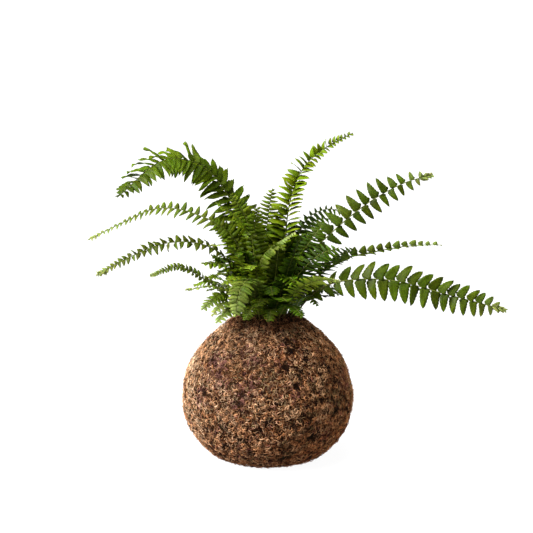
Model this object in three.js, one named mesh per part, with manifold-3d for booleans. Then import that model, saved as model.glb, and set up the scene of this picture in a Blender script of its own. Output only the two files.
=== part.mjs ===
// Kokedama: a Boston fern growing from a ball of soil wrapped in moss fibre.
// Millimetres, +Z up. The origin is the centre of the flat spot that the ball rests on.
// +X is to the viewer's right and +Y is away from the viewer.
import * as THREE from 'three';
import { mergeVertices } from 'three/addons/utils/BufferGeometryUtils.js';
import Module from 'manifold-3d';

const wasm = await Module();
wasm.setup();

// ---- Ball ----
const SEGMENTS = 26; // round the ball
const WALL_GAP = 0.35; // clearance between pieces that touch
const LUMP = 0.9; // height of the hand-packed lumps in the moss
// The waves that make the lumps, each as [waves round the ball, turn per mm of height, shift]
const LUMP_WAVES = [[3, 0.07, 0], [7, -0.11, 2], [5, 0.19, 4]];
const FOOT_Z = 1; // no lumps below this height
const RIM_Z = 109; // no lumps above this height
const CORE = { radius: 62.5, z: 53 }; // a sphere between the moss's inside and its outside
// Outside of the moss as [radius, height], from the flat spot up to the rim of the opening
const MOSS_OUTSIDE = [
  [0, 0], [27, 0], [40, 4], [50, 10], [57.5, 18], [63, 26.5], [66.8, 36], [69, 46], [69, 57],
  [66.8, 70], [62, 82.5], [54.5, 94], [45.5, 103.5], [37, 110.5], [30, 116],
];
// Inside of the moss, from the rim down to the axis: the wall is about 8 mm thick
const MOSS_INSIDE = [[28, 114.5], [28, 105.5], [45, 93], [57.5, 72], [60.5, 50], [54, 27], [33, 8], [0, 8]];
const POCKET_FLOOR = 88;

// ---- Crown ----
const CROWN_RADIUS = 26;
const CROWN_SEGMENTS = 20;
const CROWN_FLOOR = POCKET_FLOOR + WALL_GAP;
const CROWN_PROFILE = [
  [0, CROWN_FLOOR], [23, CROWN_FLOOR], [CROWN_RADIUS, 92], [CROWN_RADIUS, 112],
  [23, 115], [14, 117.2], [0, 118.2],
];
const SOCKET_RADIUS = 1.85; // blind hole that a stipe stands in
const SOCKET_SIDES = 6;
const SOCKET_FLOOR = 105;
const SOCKET_CUT = 20; // height of what is cut away, up past the top of the crown
const STIPE_FOOT = 105.4;

// ---- Fronds ----
const STIPE_HALF = [0.9, 0.42]; // half width of the rachis, at its foot and at its tip
const RACHIS_FLAT = 0.88; // height of the rachis section against its width
const BLADE = 0.7; // thickness of a pinna
const CLEARANCE = 0.25; // kept round each pinna
const STIPE_STATIONS = [0, 0.45]; // shares of the stipe at which its section is set
const LOWEST_PINNA = 0.45; // length of the lowest pinna against the longest
const SWELL = 2.2; // how fast the pinnae lengthen above the lowest
const TIP_ROUNDNESS = 0.75; // the lower, the later and rounder the frond ends
const STAGGER = 0.25; // share of the pitch by which each side is shifted, one up and one down
const TIP_ROOM = 0.7; // pitches between the last pinna and the tip
const CROWDING = 0.2; // how much closer the pinnae stand towards the tip
const LAP = 0.86; // share of its pitch that a pinna may fill
const PINNA_WIDTH = [1.6, 0.42]; // widest part of a pinna: a fixed part, and a share of its length
const LEAN = 10; // degrees that a pinna leans towards the frond's tip
const DROOP = 0.16; // sag of a pinna's point against its length
// A pinna's free corners: shares of its length outwards, of its width, and of its length upwards
const PINNA_CORNERS = { base: [0.26, -0.46, 0.02], point: [1, 0.14, -DROOP], ear: [0.2, 0.52, 0.02] };
const BENDS = [0, 14, -14, 28, -28, 42, -42, 56, -56]; // degrees a pinna may turn to pass another
const SHORTER = [1, 0.8, 0.62]; // lengths tried in turn
const SHORTEST = 2.6; // no pinna shorter than this
const LEFT_INDEX = 1000; // added to a left-hand pinna's index, to tell it from the right-hand one

// path: points on the rachis from the crown to the tip
// side: the way the right-hand pinnae point, before it is squared to the rachis
// leaf: longest pinna; pairs: pinnae a side; fold: degrees the pinnae are raised; bare: stipe's share
// joined: share of the pitch that a pinna's root takes, 1 where the roots meet
// blunt: how suddenly the frond narrows to its tip; face: share that the pinnae turn up to the light
// tipSide: the side's direction at the tip, where the frond twists on its way there
const USUAL = { joined: 1, blunt: 3.4, face: 0 };
const FRONDS = [
  { name: 'left_arch', leaf: 21, pairs: 23, fold: -6, bare: 0.14, joined: 0.3, blunt: 4, face: 0.3,
    side: [0.9, 0.5, 1], tipSide: [-0.9, 0.75, 0.3],
    path: [[-15, 0, 119], [-20, 6, 177], [-31, 10, 210], [-57, 5, 240], [-87, -8, 247], [-120, -34, 219]] },
  { name: 'centre_tall', leaf: 17.5, pairs: 18, fold: 25, bare: 0.16, joined: 0.3, blunt: 1.7, face: 0.6,
    side: [1, -0.35, -0.2],
    path: [[4, 6, 119], [14, 14, 182], [19, 18, 215], [30, 20, 242], [49, 20, 259], [71, 18, 271]] },
  { name: 'right_up', leaf: 16, pairs: 13, fold: 0, bare: 0.14, joined: 0.3, blunt: 4.5,
    side: [0.3, -0.25, -1],
    path: [[13, 2, 119], [31, 6, 162], [54, 10, 186], [84, 14, 210], [113, 16, 227], [137, 16, 236]] },
  { name: 'right_big', leaf: 17, pairs: 16, fold: 0, bare: 0.1, joined: 0.3, blunt: 5, side: [0, -0.4, -1],
    path: [[20, -6, 119], [39, -10, 141], [62, -16, 151], [101, -22, 152],
      [145, -26, 141], [191, -28, 129]] },
  { name: 'left_mid', leaf: 9.5, pairs: 16, fold: 4, bare: 0.14, joined: 0.3, blunt: 2.6,
    side: [0.4, 0.8, 0.6],
    path: [[-17, 8, 119], [-34, 26, 183], [-62, 40, 202], [-96, 52, 206],
      [-129, 60, 192], [-157, 64, 178]] },
  { name: 'left_low', leaf: 9.5, pairs: 16, fold: 4, bare: 0.12, joined: 0.3, blunt: 5,
    side: [-0.3, 0.75, 0.6],
    path: [[-20, -2, 119], [-30, -10, 162], [-50, -18, 180], [-79, -26, 183],
      [-108, -32, 173], [-136, -36, 158]] },
  { name: 'right_thin', leaf: 8.5, pairs: 13, fold: 35, bare: 0.14, joined: 0.3, blunt: 6,
    side: [0.4, -0.75, -0.5],
    path: [[17, 8, 119], [38, 24, 145], [62, 38, 162], [95, 52, 169], [128, 62, 173], [155, 68, 173]] },
  { name: 'left_small', leaf: 6.5, pairs: 12, fold: 10, bare: 0.16, blunt: 8, side: [-0.4, 0.8, 0.5],
    path: [[-20, -9, 119], [-34, -24, 141], [-49, -38, 154], [-70, -50, 166], [-91, -60, 160]] },
  { name: 'front_left', leaf: 15, pairs: 8, fold: 0, bare: 0.16, blunt: 5, side: [-1, 0.1, 0],
    path: [[-9, -17, 119], [-11, -32, 149], [-16, -44, 155], [-22, -58, 147], [-25, -66, 128]] },
  { name: 'centre_fold', leaf: 14, pairs: 9, fold: -38, bare: 0.14, side: [0.3, -1, 0],
    path: [[-1, -12, 119], [-8, -18, 148], [-6, -22, 167], [3, -26, 179], [22, -30, 192]] },
  { name: 'front_right', leaf: 12, pairs: 8, fold: 6, bare: 0.16, side: [-0.72, -0.69, 0],
    path: [[12, -16, 119], [19, -30, 140], [30, -42, 151], [43, -52, 156], [55, -60, 156]] },
  { name: 'left_core', leaf: 13, pairs: 9, fold: 4, bare: 0.12, side: [-0.5, 0.87, 0],
    path: [[-10, -8, 119], [-18, -18, 158], [-30, -24, 179], [-46, -30, 181]] },
  { name: 'right_core', leaf: 14, pairs: 8, fold: 0, bare: 0.12, side: [0.2, -0.6, -1],
    path: [[8, -7, 119], [22, -12, 151], [40, -18, 171], [58, -22, 179]] },
  { name: 'back_upright', leaf: 15, pairs: 9, fold: 0, bare: 0.14, side: [1, 0, 0],
    path: [[-3, 4, 119], [-3, 14, 163], [0, 22, 198], [4, 26, 225]] },
  { name: 'left_inner', leaf: 16, pairs: 10, fold: -6, bare: 0.14, side: [-0.3, 1, 0.3],
    path: [[-9, -1, 119], [-8, -8, 161], [-20, -12, 197], [-42, -18, 215]] },
  { name: 'back_right', leaf: 13, pairs: 8, fold: 0, bare: 0.14, side: [0.55, -0.83, 0],
    path: [[9, 12, 119], [18, 26, 158], [32, 38, 189], [48, 44, 198], [60, 46, 193]] },
  { name: 'right_inner', leaf: 13, pairs: 8, fold: 8, bare: 0.14, side: [0.35, -0.9, 0],
    path: [[20, 1, 119], [34, 12, 145], [54, 22, 165], [76, 30, 173]] },
  { name: 'right_low', leaf: 11, pairs: 8, fold: 0, bare: 0.14, side: [-0.5, -0.85, 0],
    path: [[18, -12, 119], [26, -21, 136], [33, -29, 139], [41, -35, 133]] },
  { name: 'left_tiny', leaf: 8, pairs: 7, fold: 6, bare: 0.18, side: [-0.6, 0.8, 0],
    path: [[-15, -14, 119], [-25, -31, 139], [-42, -48, 150], [-63, -60, 149]] },
  { name: 'left_curl', leaf: 8, pairs: 6, fold: 0, bare: 0.18, side: [-0.75, 0.65, 0],
    path: [[-14, -19, 119], [-26, -36, 134], [-36, -49, 136], [-44, -57, 127]] },
  { name: 'front_small', leaf: 8, pairs: 5, fold: 0, bare: 0.18, side: [-1, 0, 0],
    path: [[3, -19, 119], [3, -32, 127], [2, -43, 125], [1, -51, 116]] },
  { name: 'low_left', leaf: 10, pairs: 6, fold: 0, bare: 0.16, side: [-0.5, 0.8, 0.3],
    path: [[-22, 3, 119], [-34, -4, 133], [-44, -12, 135], [-54, -20, 127]] },
  { name: 'low_front_left', leaf: 10, pairs: 6, fold: 0, bare: 0.16, side: [-1, 0.3, 0],
    path: [[-6, -22, 119], [-9, -34, 130], [-13, -46, 128], [-18, -56, 118]] },
  { name: 'low_front_right', leaf: 10, pairs: 6, fold: 0, bare: 0.16, side: [-1, -0.5, 0],
    path: [[8, -21, 119], [14, -33, 130], [21, -44, 129], [28, -53, 120]] },
  { name: 'mid_front', leaf: 12, pairs: 8, fold: 0, bare: 0.16, side: [-1, -0.5, 0],
    path: [[5, -13, 119], [9, -22, 145], [15, -32, 155], [24, -42, 150]] },
  { name: 'mid_left', leaf: 12, pairs: 8, fold: 0, bare: 0.16, side: [-0.8, 0.6, 0],
    path: [[-6, -12, 119], [-14, -24, 145], [-24, -35, 156], [-36, -45, 151]] },
  { name: 'back_arch', leaf: 16, pairs: 11, fold: -4, bare: 0.12, side: [1, 0.25, 0],
    path: [[-8, 12, 119], [-14, 34, 173], [-20, 62, 198], [-26, 96, 198], [-30, 128, 181]] },
  { name: 'back_long', leaf: 16, pairs: 10, fold: 0, bare: 0.12, side: [1, -0.1, 0],
    path: [[2, 15, 119], [6, 40, 165], [8, 70, 185], [10, 104, 179], [12, 134, 159]] },
  { name: 'back_side', leaf: 15, pairs: 8, fold: 0, bare: 0.12, side: [0.9, -0.42, 0],
    path: [[13, 17, 119], [22, 42, 158], [34, 70, 173], [46, 100, 165], [54, 126, 143]] },
  { name: 'back_left', leaf: 13, pairs: 7, fold: 0, bare: 0.14, side: [0.9, 0.42, 0],
    path: [[-15, 14, 119], [-26, 38, 151], [-36, 64, 161], [-44, 90, 151]] },
  { name: 'back_low', leaf: 12, pairs: 7, fold: 0, bare: 0.16, side: [1, 0, 0],
    path: [[5, 21, 119], [6, 44, 137], [6, 66, 135], [4, 84, 119]] },
  { name: 'back_low_left', leaf: 12, pairs: 7, fold: 0, bare: 0.16, side: [0.92, 0.38, 0],
    path: [[-5, 20, 119], [-14, 42, 139], [-22, 62, 139], [-29, 80, 124]] },
  { name: 'back_low_right', leaf: 11, pairs: 7, fold: 0, bare: 0.16, side: [0.7, -0.7, 0],
    path: [[19, 13, 119], [33, 31, 139], [48, 48, 141], [62, 62, 129]] },
  { name: 'skirt_left', leaf: 10, pairs: 6, fold: 0, bare: 0.14, side: [-0.6, 0.8, 0],
    path: [[-19, -13, 119], [-27, -22, 127], [-35, -31, 126], [-41, -37, 119]] },
  { name: 'front_mid', leaf: 11, pairs: 7, fold: 0, bare: 0.14, side: [-1, 0, 0],
    path: [[-1, -7, 119], [0, -18, 140], [2, -30, 148], [4, -43, 142]] },
  { name: 'skirt_front', leaf: 10, pairs: 6, fold: 0, bare: 0.14, side: [-1, 0.1, 0],
    path: [[-4, -18, 119], [-5, -27, 134], [-6, -38, 139], [-8, -50, 134]] },
  { name: 'skirt_right', leaf: 11, pairs: 7, fold: 0, bare: 0.14, side: [-0.4, -0.9, 0],
    path: [[13, -8, 119], [22, -17, 143], [33, -27, 152], [46, -35, 151]] },
  { name: 'low_right', leaf: 11, pairs: 7, fold: 0, bare: 0.14, side: [0, -1, 0],
    path: [[21, 6, 119], [34, 6, 137], [48, 4, 142], [60, 0, 137]] },
  { name: 'far_left', leaf: 11, pairs: 7, fold: 0, bare: 0.14, side: [-0.4, 0.9, 0],
    path: [[-19, 12, 119], [-34, 18, 140], [-48, 24, 146], [-64, 28, 142]] },
  { name: 'core_left', leaf: 12, pairs: 8, fold: 0, bare: 0.12, side: [-0.4, 0.9, 0.3],
    path: [[-16, -7, 119], [-22, -13, 148], [-36, -20, 164], [-54, -26, 166]] },
  { name: 'right_fan', leaf: 12, pairs: 9, fold: 0, bare: 0.14, side: [0.5, -0.8, 0],
    path: [[14, 12, 119], [20, 18, 165], [32, 22, 197], [50, 26, 207], [66, 28, 203]] },
  { name: 'core_right', leaf: 12, pairs: 8, fold: 0, bare: 0.12, side: [-0.8, -0.5, 0],
    path: [[3, -4, 119], [6, -6, 150], [14, -8, 174], [26, -12, 188]] },
  { name: 'core_front', leaf: 11, pairs: 8, fold: 0, bare: 0.12, side: [-1, 0.3, 0],
    path: [[-6, -6, 119], [-8, -14, 148], [-14, -28, 162], [-20, -42, 164]] },
].map((frond) => ({ ...USUAL, ...frond }));

// ---- Colours ----
const moss = new THREE.MeshStandardMaterial({ color: 0x8f7358, roughness: 0.95, metalness: 0 });
const soil = new THREE.MeshStandardMaterial({ color: 0x2f241c, roughness: 0.95, metalness: 0 });
const rhizome = new THREE.MeshStandardMaterial({ color: 0x4a3222, roughness: 0.9, metalness: 0 });
const leaf = new THREE.MeshStandardMaterial({ color: 0x5c8a24, roughness: 0.55, metalness: 0 });

const Z = new THREE.Vector3(0, 0, 1);
const lerp = THREE.MathUtils.lerp;

// A closed solid turned round the Z axis from a [radius, height] profile
function turned(profile, segments) {
  const geometry = new THREE.LatheGeometry(profile.map(([r, z]) => new THREE.Vector2(r, z)), segments);
  geometry.rotateX(Math.PI / 2);
  return welded(geometry);
}

// Only positions, with the shared vertices merged and no collapsed triangles
function welded(geometry) {
  geometry.deleteAttribute('normal');
  geometry.deleteAttribute('uv');
  const merged = mergeVertices(geometry, 1e-4);
  const index = [];
  for (let i = 0; i < merged.index.count; i += 3) {
    const [a, b, c] = [0, 1, 2].map((k) => merged.index.getX(i + k));
    if (a !== b && b !== c && c !== a) index.push(a, b, c);
  }
  merged.setIndex(index);
  return merged;
}

function toSolid(geometry) {
  return new wasm.Manifold(new wasm.Mesh({
    numProp: 3,
    vertProperties: new Float32Array(geometry.attributes.position.array),
    triVerts: new Uint32Array(geometry.index.array),
  }));
}

function toGeometry(solid) {
  const mesh = solid.getMesh();
  const geometry = new THREE.BufferGeometry();
  geometry.setAttribute('position', new THREE.BufferAttribute(new Float32Array(mesh.vertProperties), 3));
  geometry.setIndex(new THREE.BufferAttribute(new Uint32Array(mesh.triVerts), 1));
  return geometry;
}

function fromPoints(points, faces) {
  const geometry = new THREE.BufferGeometry().setFromPoints(points);
  geometry.setIndex(faces.flat());
  return geometry;
}

// ---- Moss, soil and crown ----

// Moves the moss's outer points in and out, leaving the flat spot and the rim alone
function lumpy(geometry) {
  const position = geometry.attributes.position;
  const point = new THREE.Vector3();
  for (let i = 0; i < position.count; i += 1) {
    point.fromBufferAttribute(position, i);
    const radius = Math.hypot(point.x, point.y);
    const outside = Math.hypot(radius, point.z - CORE.z) > CORE.radius && point.z > FOOT_Z && point.z < RIM_Z;
    if (outside) {
      const around = Math.atan2(point.y, point.x);
      const lump = LUMP_WAVES.reduce(
        (sum, [waves, turn, shift]) => sum + Math.sin(waves * around + turn * point.z + shift), 0);
      const share = 1 + (lump * LUMP) / (LUMP_WAVES.length * radius);
      point.multiply(new THREE.Vector3(share, share, 1));
      position.setXYZ(i, point.x, point.y, point.z);
    }
  }
  return geometry;
}

function soilProfile() {
  const inside = MOSS_INSIDE.slice(1).reverse().map(([r, z], i, all) => {
    const low = i < 2;
    return [low && r === 0 ? 0 : r - WALL_GAP, low ? z + WALL_GAP : z];
  });
  const pocket = CROWN_RADIUS + WALL_GAP;
  return [...inside, [pocket, inside.at(-1)[1]], [pocket, POCKET_FLOOR], [0, POCKET_FLOOR]];
}

function crownSolid() {
  const sockets = FRONDS.map(({ path }) => {
    const socket = new THREE.CylinderGeometry(SOCKET_RADIUS, SOCKET_RADIUS, SOCKET_CUT, SOCKET_SIDES);
    socket.rotateX(Math.PI / 2);
    socket.translate(path[0][0], path[0][1], SOCKET_FLOOR + SOCKET_CUT / 2);
    return toSolid(welded(socket));
  });
  return toSolid(turned(CROWN_PROFILE, CROWN_SEGMENTS)).subtract(wasm.Manifold.union(sockets));
}

// ---- Fronds ----

// The rachis as a curve, with the frame that the pinnae are laid out in
class Rachis {
  constructor({ path, side, tipSide = side }) {
    this.curve = new THREE.CatmullRomCurve3(path.map((p) => new THREE.Vector3(...p)), false, 'catmullrom');
    this.curve.arcLengthDivisions = 400;
    this.sides = [side, tipSide].map((direction) => new THREE.Vector3(...direction));
    this.length = this.curve.getLength();
  }

  frame(u) {
    const along = this.curve.getTangentAt(u);
    const side = this.sides[0].clone().lerp(this.sides[1], u);
    const across = side.clone().addScaledVector(along, -side.dot(along)).normalize();
    return { at: this.curve.getPointAt(u), along, across, up: across.clone().cross(along) };
  }

  halfWidth(u) {
    return lerp(STIPE_HALF[0], STIPE_HALF[1], Math.sqrt(u));
  }

  // Top and bottom points on one side of the rachis: hand is 1 for the right and -1 for the left
  edge(u, hand) {
    const { at, across, up } = this.frame(u);
    const half = this.halfWidth(u);
    return [1, -1].map((level) => at.clone().addScaledVector(across, hand * half)
      .addScaledVector(up, level * half * RACHIS_FLAT));
  }

  // The foot of the stipe, which stands upright in its socket
  foot(hand) {
    const { at, across } = this.frame(0);
    const flat = new THREE.Vector3(across.x, across.y, 0).normalize();
    const back = flat.clone().cross(Z);
    const centre = at.clone().setZ(STIPE_FOOT);
    const half = STIPE_HALF[0];
    return [1, -1].map((level) => centre.clone().addScaledVector(flat, hand * half)
      .addScaledVector(back, level * half * RACHIS_FLAT));
  }
}

// Share of the longest pinna's length, for t from the lowest pinna to the tip
function taper(t, blunt) {
  return Math.min(1, LOWEST_PINNA + SWELL * t) * Math.max(0, 1 - t ** blunt) ** TIP_ROUNDNESS;
}

// Where the pinnae of one side stand, alternate with the other side's and closer towards the tip
function pinnaPlaces(frond, rachis, hand) {
  const position = (i) => {
    const x = (i + STAGGER + hand * STAGGER) / (frond.pairs + TIP_ROOM);
    return { x, u: frond.bare + (1 - frond.bare) * x * (1 + CROWDING - CROWDING * x) };
  };
  return Array.from({ length: frond.pairs }, (_, i) => {
    const [start, middle, end] = [position(i), position(i + 0.5), position(i + 1)];
    const pitch = (end.u - start.u) * rachis.length;
    const length = Math.max(SHORTEST, frond.leaf * taper(middle.x, frond.blunt));
    return {
      start: lerp(middle.u, start.u, frond.joined),
      u: middle.u,
      end: lerp(middle.u, end.u, frond.joined),
      pitch,
      length,
      width: pinnaWidth(pitch, length),
      face: frond.face,
    };
  });
}

function pinnaWidth(pitch, length) {
  return Math.min(LAP * pitch, PINNA_WIDTH[0] + PINNA_WIDTH[1] * length);
}

// A pinna's upper and lower outline: broad base with an ear on the tip side, then a long point.
// Its first and last corners are on the rachis.
function pinnaOutline(rachis, place, hand, fold, thickness) {
  const { at, along, across, up } = rachis.frame(place.u);
  const turn = THREE.MathUtils.degToRad(fold);
  const lean = THREE.MathUtils.degToRad(LEAN);
  const out = across.clone().multiplyScalar(hand * Math.cos(turn)).addScaledVector(up, Math.sin(turn));
  const outward = out.clone().multiplyScalar(Math.cos(lean)).addScaledVector(along, Math.sin(lean));
  const flat = up.clone().multiplyScalar(Math.cos(turn)).addScaledVector(across, -hand * Math.sin(turn));
  const lit = Z.clone().addScaledVector(outward, -outward.z).normalize();
  lit.multiplyScalar(Math.sign(lit.dot(flat)) || 1);
  const normal = flat.clone().lerp(lit, place.face).normalize();
  const forward = normal.clone().cross(outward).multiplyScalar(hand);
  const root = at.clone().addScaledVector(across, hand * rachis.halfWidth(place.u));
  const { length, width } = place;
  const { base, point, ear } = PINNA_CORNERS;
  const centre = [base, point, ear].map(([reach, spread, rise]) => root.clone()
    .addScaledVector(outward, reach * length).addScaledVector(forward, spread * width)
    .addScaledVector(normal, rise * length));
  const start = rachis.edge(place.start, hand);
  const end = rachis.edge(place.end, hand);
  return [0, 1].map((k) => [start[k], ...centre.map((corner) => corner.clone()
    .addScaledVector(normal, (k === 0 ? 0.5 : -0.5) * thickness)), end[k]]);
}

const BLADE_FACES = [[0, 1, 3], [1, 2, 3], [0, 3, 4]]; // both faces are split alike

// The walls and faces of a pinna whose upper corners start at a and lower corners at b
function pinnaFaces(a, b, hand, closed) {
  const faces = [];
  for (const [i, j, k] of BLADE_FACES) {
    faces.push([a[i], a[j], a[k]], [b[i], b[k], b[j]]);
  }
  for (let i = 0; i < (closed ? 5 : 4); i += 1) {
    const j = (i + 1) % 5;
    faces.push([a[i], b[i], b[j]], [a[i], b[j], a[j]]);
  }
  return hand > 0 ? faces : faces.map(([p, q, r]) => [p, r, q]);
}

function pinnaSolid(rachis, place, hand, fold, thickness) {
  const [upper, lower] = pinnaOutline(rachis, place, hand, fold, thickness);
  const faces = pinnaFaces([0, 1, 2, 3, 4], [5, 6, 7, 8, 9], hand, true);
  return toSolid(fromPoints([...upper, ...lower], faces));
}

// One side of the frond as a chain of stations from the stipe's foot to the tip
function chain(frond, rachis, places, hand) {
  const stations = [{ edge: rachis.foot(hand) }];
  for (const share of STIPE_STATIONS) stations.push({ u: share * frond.bare });
  for (const place of places) {
    stations.push({ u: place.start, place });
    if (frond.joined < 1) stations.push({ u: place.end });
  }
  if (frond.joined === 1) stations.push({ u: places.at(-1).end });
  stations.push({ u: 1 });
  return stations.map((station) => ({ ...station, edge: station.edge ?? rachis.edge(station.u, hand) }));
}

// The frond as one closed solid: a four-cornered rachis whose walls open into the pinnae
function frondGeometry(frond, rachis, sides) {
  const points = [];
  const faces = [];
  const add = (point) => points.push(point) - 1;
  const chains = [1, -1].map((hand, k) => chain(frond, rachis, sides[k], hand)
    .map((station) => ({ ...station, ids: station.edge.map(add) })));
  chains.forEach((stations, k) => {
    const hand = k === 0 ? 1 : -1;
    for (let i = 0; i + 1 < stations.length; i += 1) {
      const [a, b] = [stations[i].ids, stations[i + 1].ids];
      const { place } = stations[i];
      if (place?.grown) {
        const [upper, lower] = pinnaOutline(rachis, place, hand, place.fold, BLADE);
        const top = [a[0], ...upper.slice(1, 4).map(add), b[0]];
        const bottom = [a[1], ...lower.slice(1, 4).map(add), b[1]];
        faces.push(...pinnaFaces(top, bottom, hand, false));
      } else {
        const wall = [[a[0], a[1], b[1]], [a[0], b[1], b[0]]];
        faces.push(...(hand > 0 ? wall : wall.map(([p, q, r]) => [p, r, q])));
      }
    }
  });
  // The upper and lower faces run between the two chains, always stepping the side that is behind
  const [right, left] = chains;
  let [i, j] = [0, 0];
  while (i + 1 < right.length || j + 1 < left.length) {
    const stepRight = j + 1 === left.length
      || (i + 1 < right.length && (right[i + 1].u ?? 0) <= (left[j + 1].u ?? 0));
    const [a, b] = [right[i].ids, left[j].ids];
    const c = stepRight ? right[i + 1].ids : left[j + 1].ids;
    faces.push([a[0], c[0], b[0]], [a[1], b[1], c[1]]);
    if (stepRight) i += 1;
    else j += 1;
  }
  const [r0, l0, r1, l1] = [right[0].ids, left[0].ids, right.at(-1).ids, left.at(-1).ids];
  faces.push([r0[0], l0[0], l0[1]], [r0[0], l0[1], r0[1]], [r1[0], r1[1], l1[1]], [r1[0], l1[1], l1[0]]);
  return fromPoints(points, faces);
}

function overlaps(a, b) {
  return a.min.every((low, k) => low <= b.max[k] && b.min[k] <= a.max[k]);
}

// Solids already placed, each with its box, to keep every new pinna clear of
class Placed {
  constructor() {
    this.items = [];
  }

  add(solid, frond, index) {
    this.items.push({ solid, box: solid.boundingBox(), frond, index });
  }

  // Neighbouring pinnae of the same frond meet only along the rachis and aren't compared
  isClear(solid, frond, index) {
    const box = solid.boundingBox();
    return this.items.every((item) => {
      if (item.frond === frond && (item.index < 0 || Math.abs(item.index - index) < 2)) return true;
      return !overlaps(box, item.box) || solid.intersect(item.solid).isEmpty();
    });
  }
}

// Turns or shortens each pinna until it is clear of all that is already there, or leaves it out
function growPinnae(frond, rachis, placed) {
  return [1, -1].map((hand) => pinnaPlaces(frond, rachis, hand).map((place, i) => {
    const index = hand > 0 ? i : i + LEFT_INDEX;
    for (const share of SHORTER) {
      const length = place.length * share;
      const width = pinnaWidth(place.pitch, length);
      for (const bend of length >= SHORTEST ? BENDS : []) {
        const fold = frond.fold + bend;
        const tried = { ...place, length, width, fold, grown: true };
        if (placed.isClear(pinnaSolid(rachis, tried, hand, fold, BLADE + 2 * CLEARANCE), frond.name, index)) {
          placed.add(pinnaSolid(rachis, tried, hand, fold, BLADE), frond.name, index);
          return tried;
        }
      }
    }
    return place;
  }));
}

// ---- Assembly ----
const group = new THREE.Group();

function addPiece(name, geometry, material) {
  const mesh = new THREE.Mesh(geometry, material);
  mesh.name = name;
  group.add(mesh);
}

const mossGeometry = lumpy(turned([...MOSS_OUTSIDE, ...MOSS_INSIDE], SEGMENTS));
const soilGeometry = turned(soilProfile(), SEGMENTS);
const crown = crownSolid();
addPiece('moss_wrap', mossGeometry, moss);
addPiece('soil_ball', soilGeometry, soil);
addPiece('crown', toGeometry(crown), rhizome);

const placed = new Placed();
placed.add(toSolid(mossGeometry), 'moss_wrap', 0);
placed.add(crown, 'crown', 0);
const rachises = FRONDS.map((frond) => new Rachis(frond));
FRONDS.forEach((frond, k) => {
  const bareSides = [1, -1].map((hand) => pinnaPlaces(frond, rachises[k], hand));
  placed.add(toSolid(frondGeometry(frond, rachises[k], bareSides)), frond.name, -1);
});
FRONDS.forEach((frond, k) => {
  const sides = growPinnae(frond, rachises[k], placed);
  addPiece(`frond_${frond.name}`, frondGeometry(frond, rachises[k], sides), leaf.clone());
});

export default group;
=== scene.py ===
"""Dresses a kokedama: a Boston fern growing from a ball of soil wrapped in moss and coir fibre.

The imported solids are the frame. Each frond is rebuilt with toothed, arching pinnae on a scurfy
rachis, the moss gets its curled fibres, and the soil and rhizome get their materials.
Lengths in this file are millimetres unless a name says otherwise; meshes are stored in metres.
"""

import logging
import math
from dataclasses import dataclass, field, replace
from enum import Enum
from functools import partial

import bmesh
import bpy
import numpy as np
from bpy.types import Material, Mesh, Node, Object, World
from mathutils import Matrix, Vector

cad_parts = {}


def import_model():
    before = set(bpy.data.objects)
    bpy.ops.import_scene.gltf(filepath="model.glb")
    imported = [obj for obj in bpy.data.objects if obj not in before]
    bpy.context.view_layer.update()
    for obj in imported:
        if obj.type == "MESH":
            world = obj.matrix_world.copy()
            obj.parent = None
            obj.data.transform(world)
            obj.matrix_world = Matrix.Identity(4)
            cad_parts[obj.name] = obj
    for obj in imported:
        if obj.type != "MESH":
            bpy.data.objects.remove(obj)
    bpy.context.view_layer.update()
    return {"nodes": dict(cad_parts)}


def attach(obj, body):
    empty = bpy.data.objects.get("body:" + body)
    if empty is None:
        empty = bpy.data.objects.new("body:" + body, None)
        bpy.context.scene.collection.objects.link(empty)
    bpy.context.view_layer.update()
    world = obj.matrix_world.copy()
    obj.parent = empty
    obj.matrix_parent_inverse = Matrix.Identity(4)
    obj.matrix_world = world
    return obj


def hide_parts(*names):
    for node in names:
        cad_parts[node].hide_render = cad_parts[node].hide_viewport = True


LOG = logging.getLogger("kokedama")
MM = 0.001
BODY = "root"
FRAME_PIXELS = 533
SEED = 20417
COLLAR_SEED, HOLE_SEED, MOOD_SEED, UNDERGROWTH_SEED, FROND_SEED = (SEED + k for k in (50, 60, 61, 70, 100))
CURVE_STEPS = 60  # points worked out between two corners of a smooth curve
NOISE = (0.3, 0.7)  # where most values of a noise lie

Point = tuple[float, float, float]
Rgba = tuple[float, float, float, float]
Spot = tuple[float, float, float, float]  # a place on the moss, then a radius
Place = tuple[float, float, float, float]  # a pinna's share of the rachis and of the blade, pitch and length


# ---------------------------------------------------------------- small helpers


def linear(hex_colour: str) -> Rgba:
    """Turns an sRGB hex colour into the linear values that shaders read.

    Args:
        hex_colour: Six hex digits with a leading hash.

    Returns:
        Linear red, green and blue, with an alpha of 1.
    """
    channels = [int(hex_colour[i : i + 2], 16) / 255 for i in (1, 3, 5)]
    values = [c / 12.92 if c <= 0.04045 else ((c + 0.055) / 1.055) ** 2.4 for c in channels]
    return (values[0], values[1], values[2], 1.0)


def rgb(hex_colour: str) -> np.ndarray:
    """Turns an sRGB hex colour into linear red, green and blue."""
    return np.array(linear(hex_colour)[:3])


def mix(first: np.ndarray | float, last: np.ndarray | float, share: np.ndarray | float) -> np.ndarray:
    """Goes from the first value to the last as share goes from 0 to 1."""
    return first * (1 - share) + last * share


def ramp(values: np.ndarray | float, start: float, end: float) -> np.ndarray:
    """Rises from 0 to 1 as the values go from start to end, and stays level outside."""
    return np.clip((values - start) / (end - start), 0, 1)


def unit(vectors: np.ndarray) -> np.ndarray:
    """Scales vectors to length 1 along the last axis."""
    return vectors / np.maximum(np.linalg.norm(vectors, axis=-1, keepdims=True), 1e-9)


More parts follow.
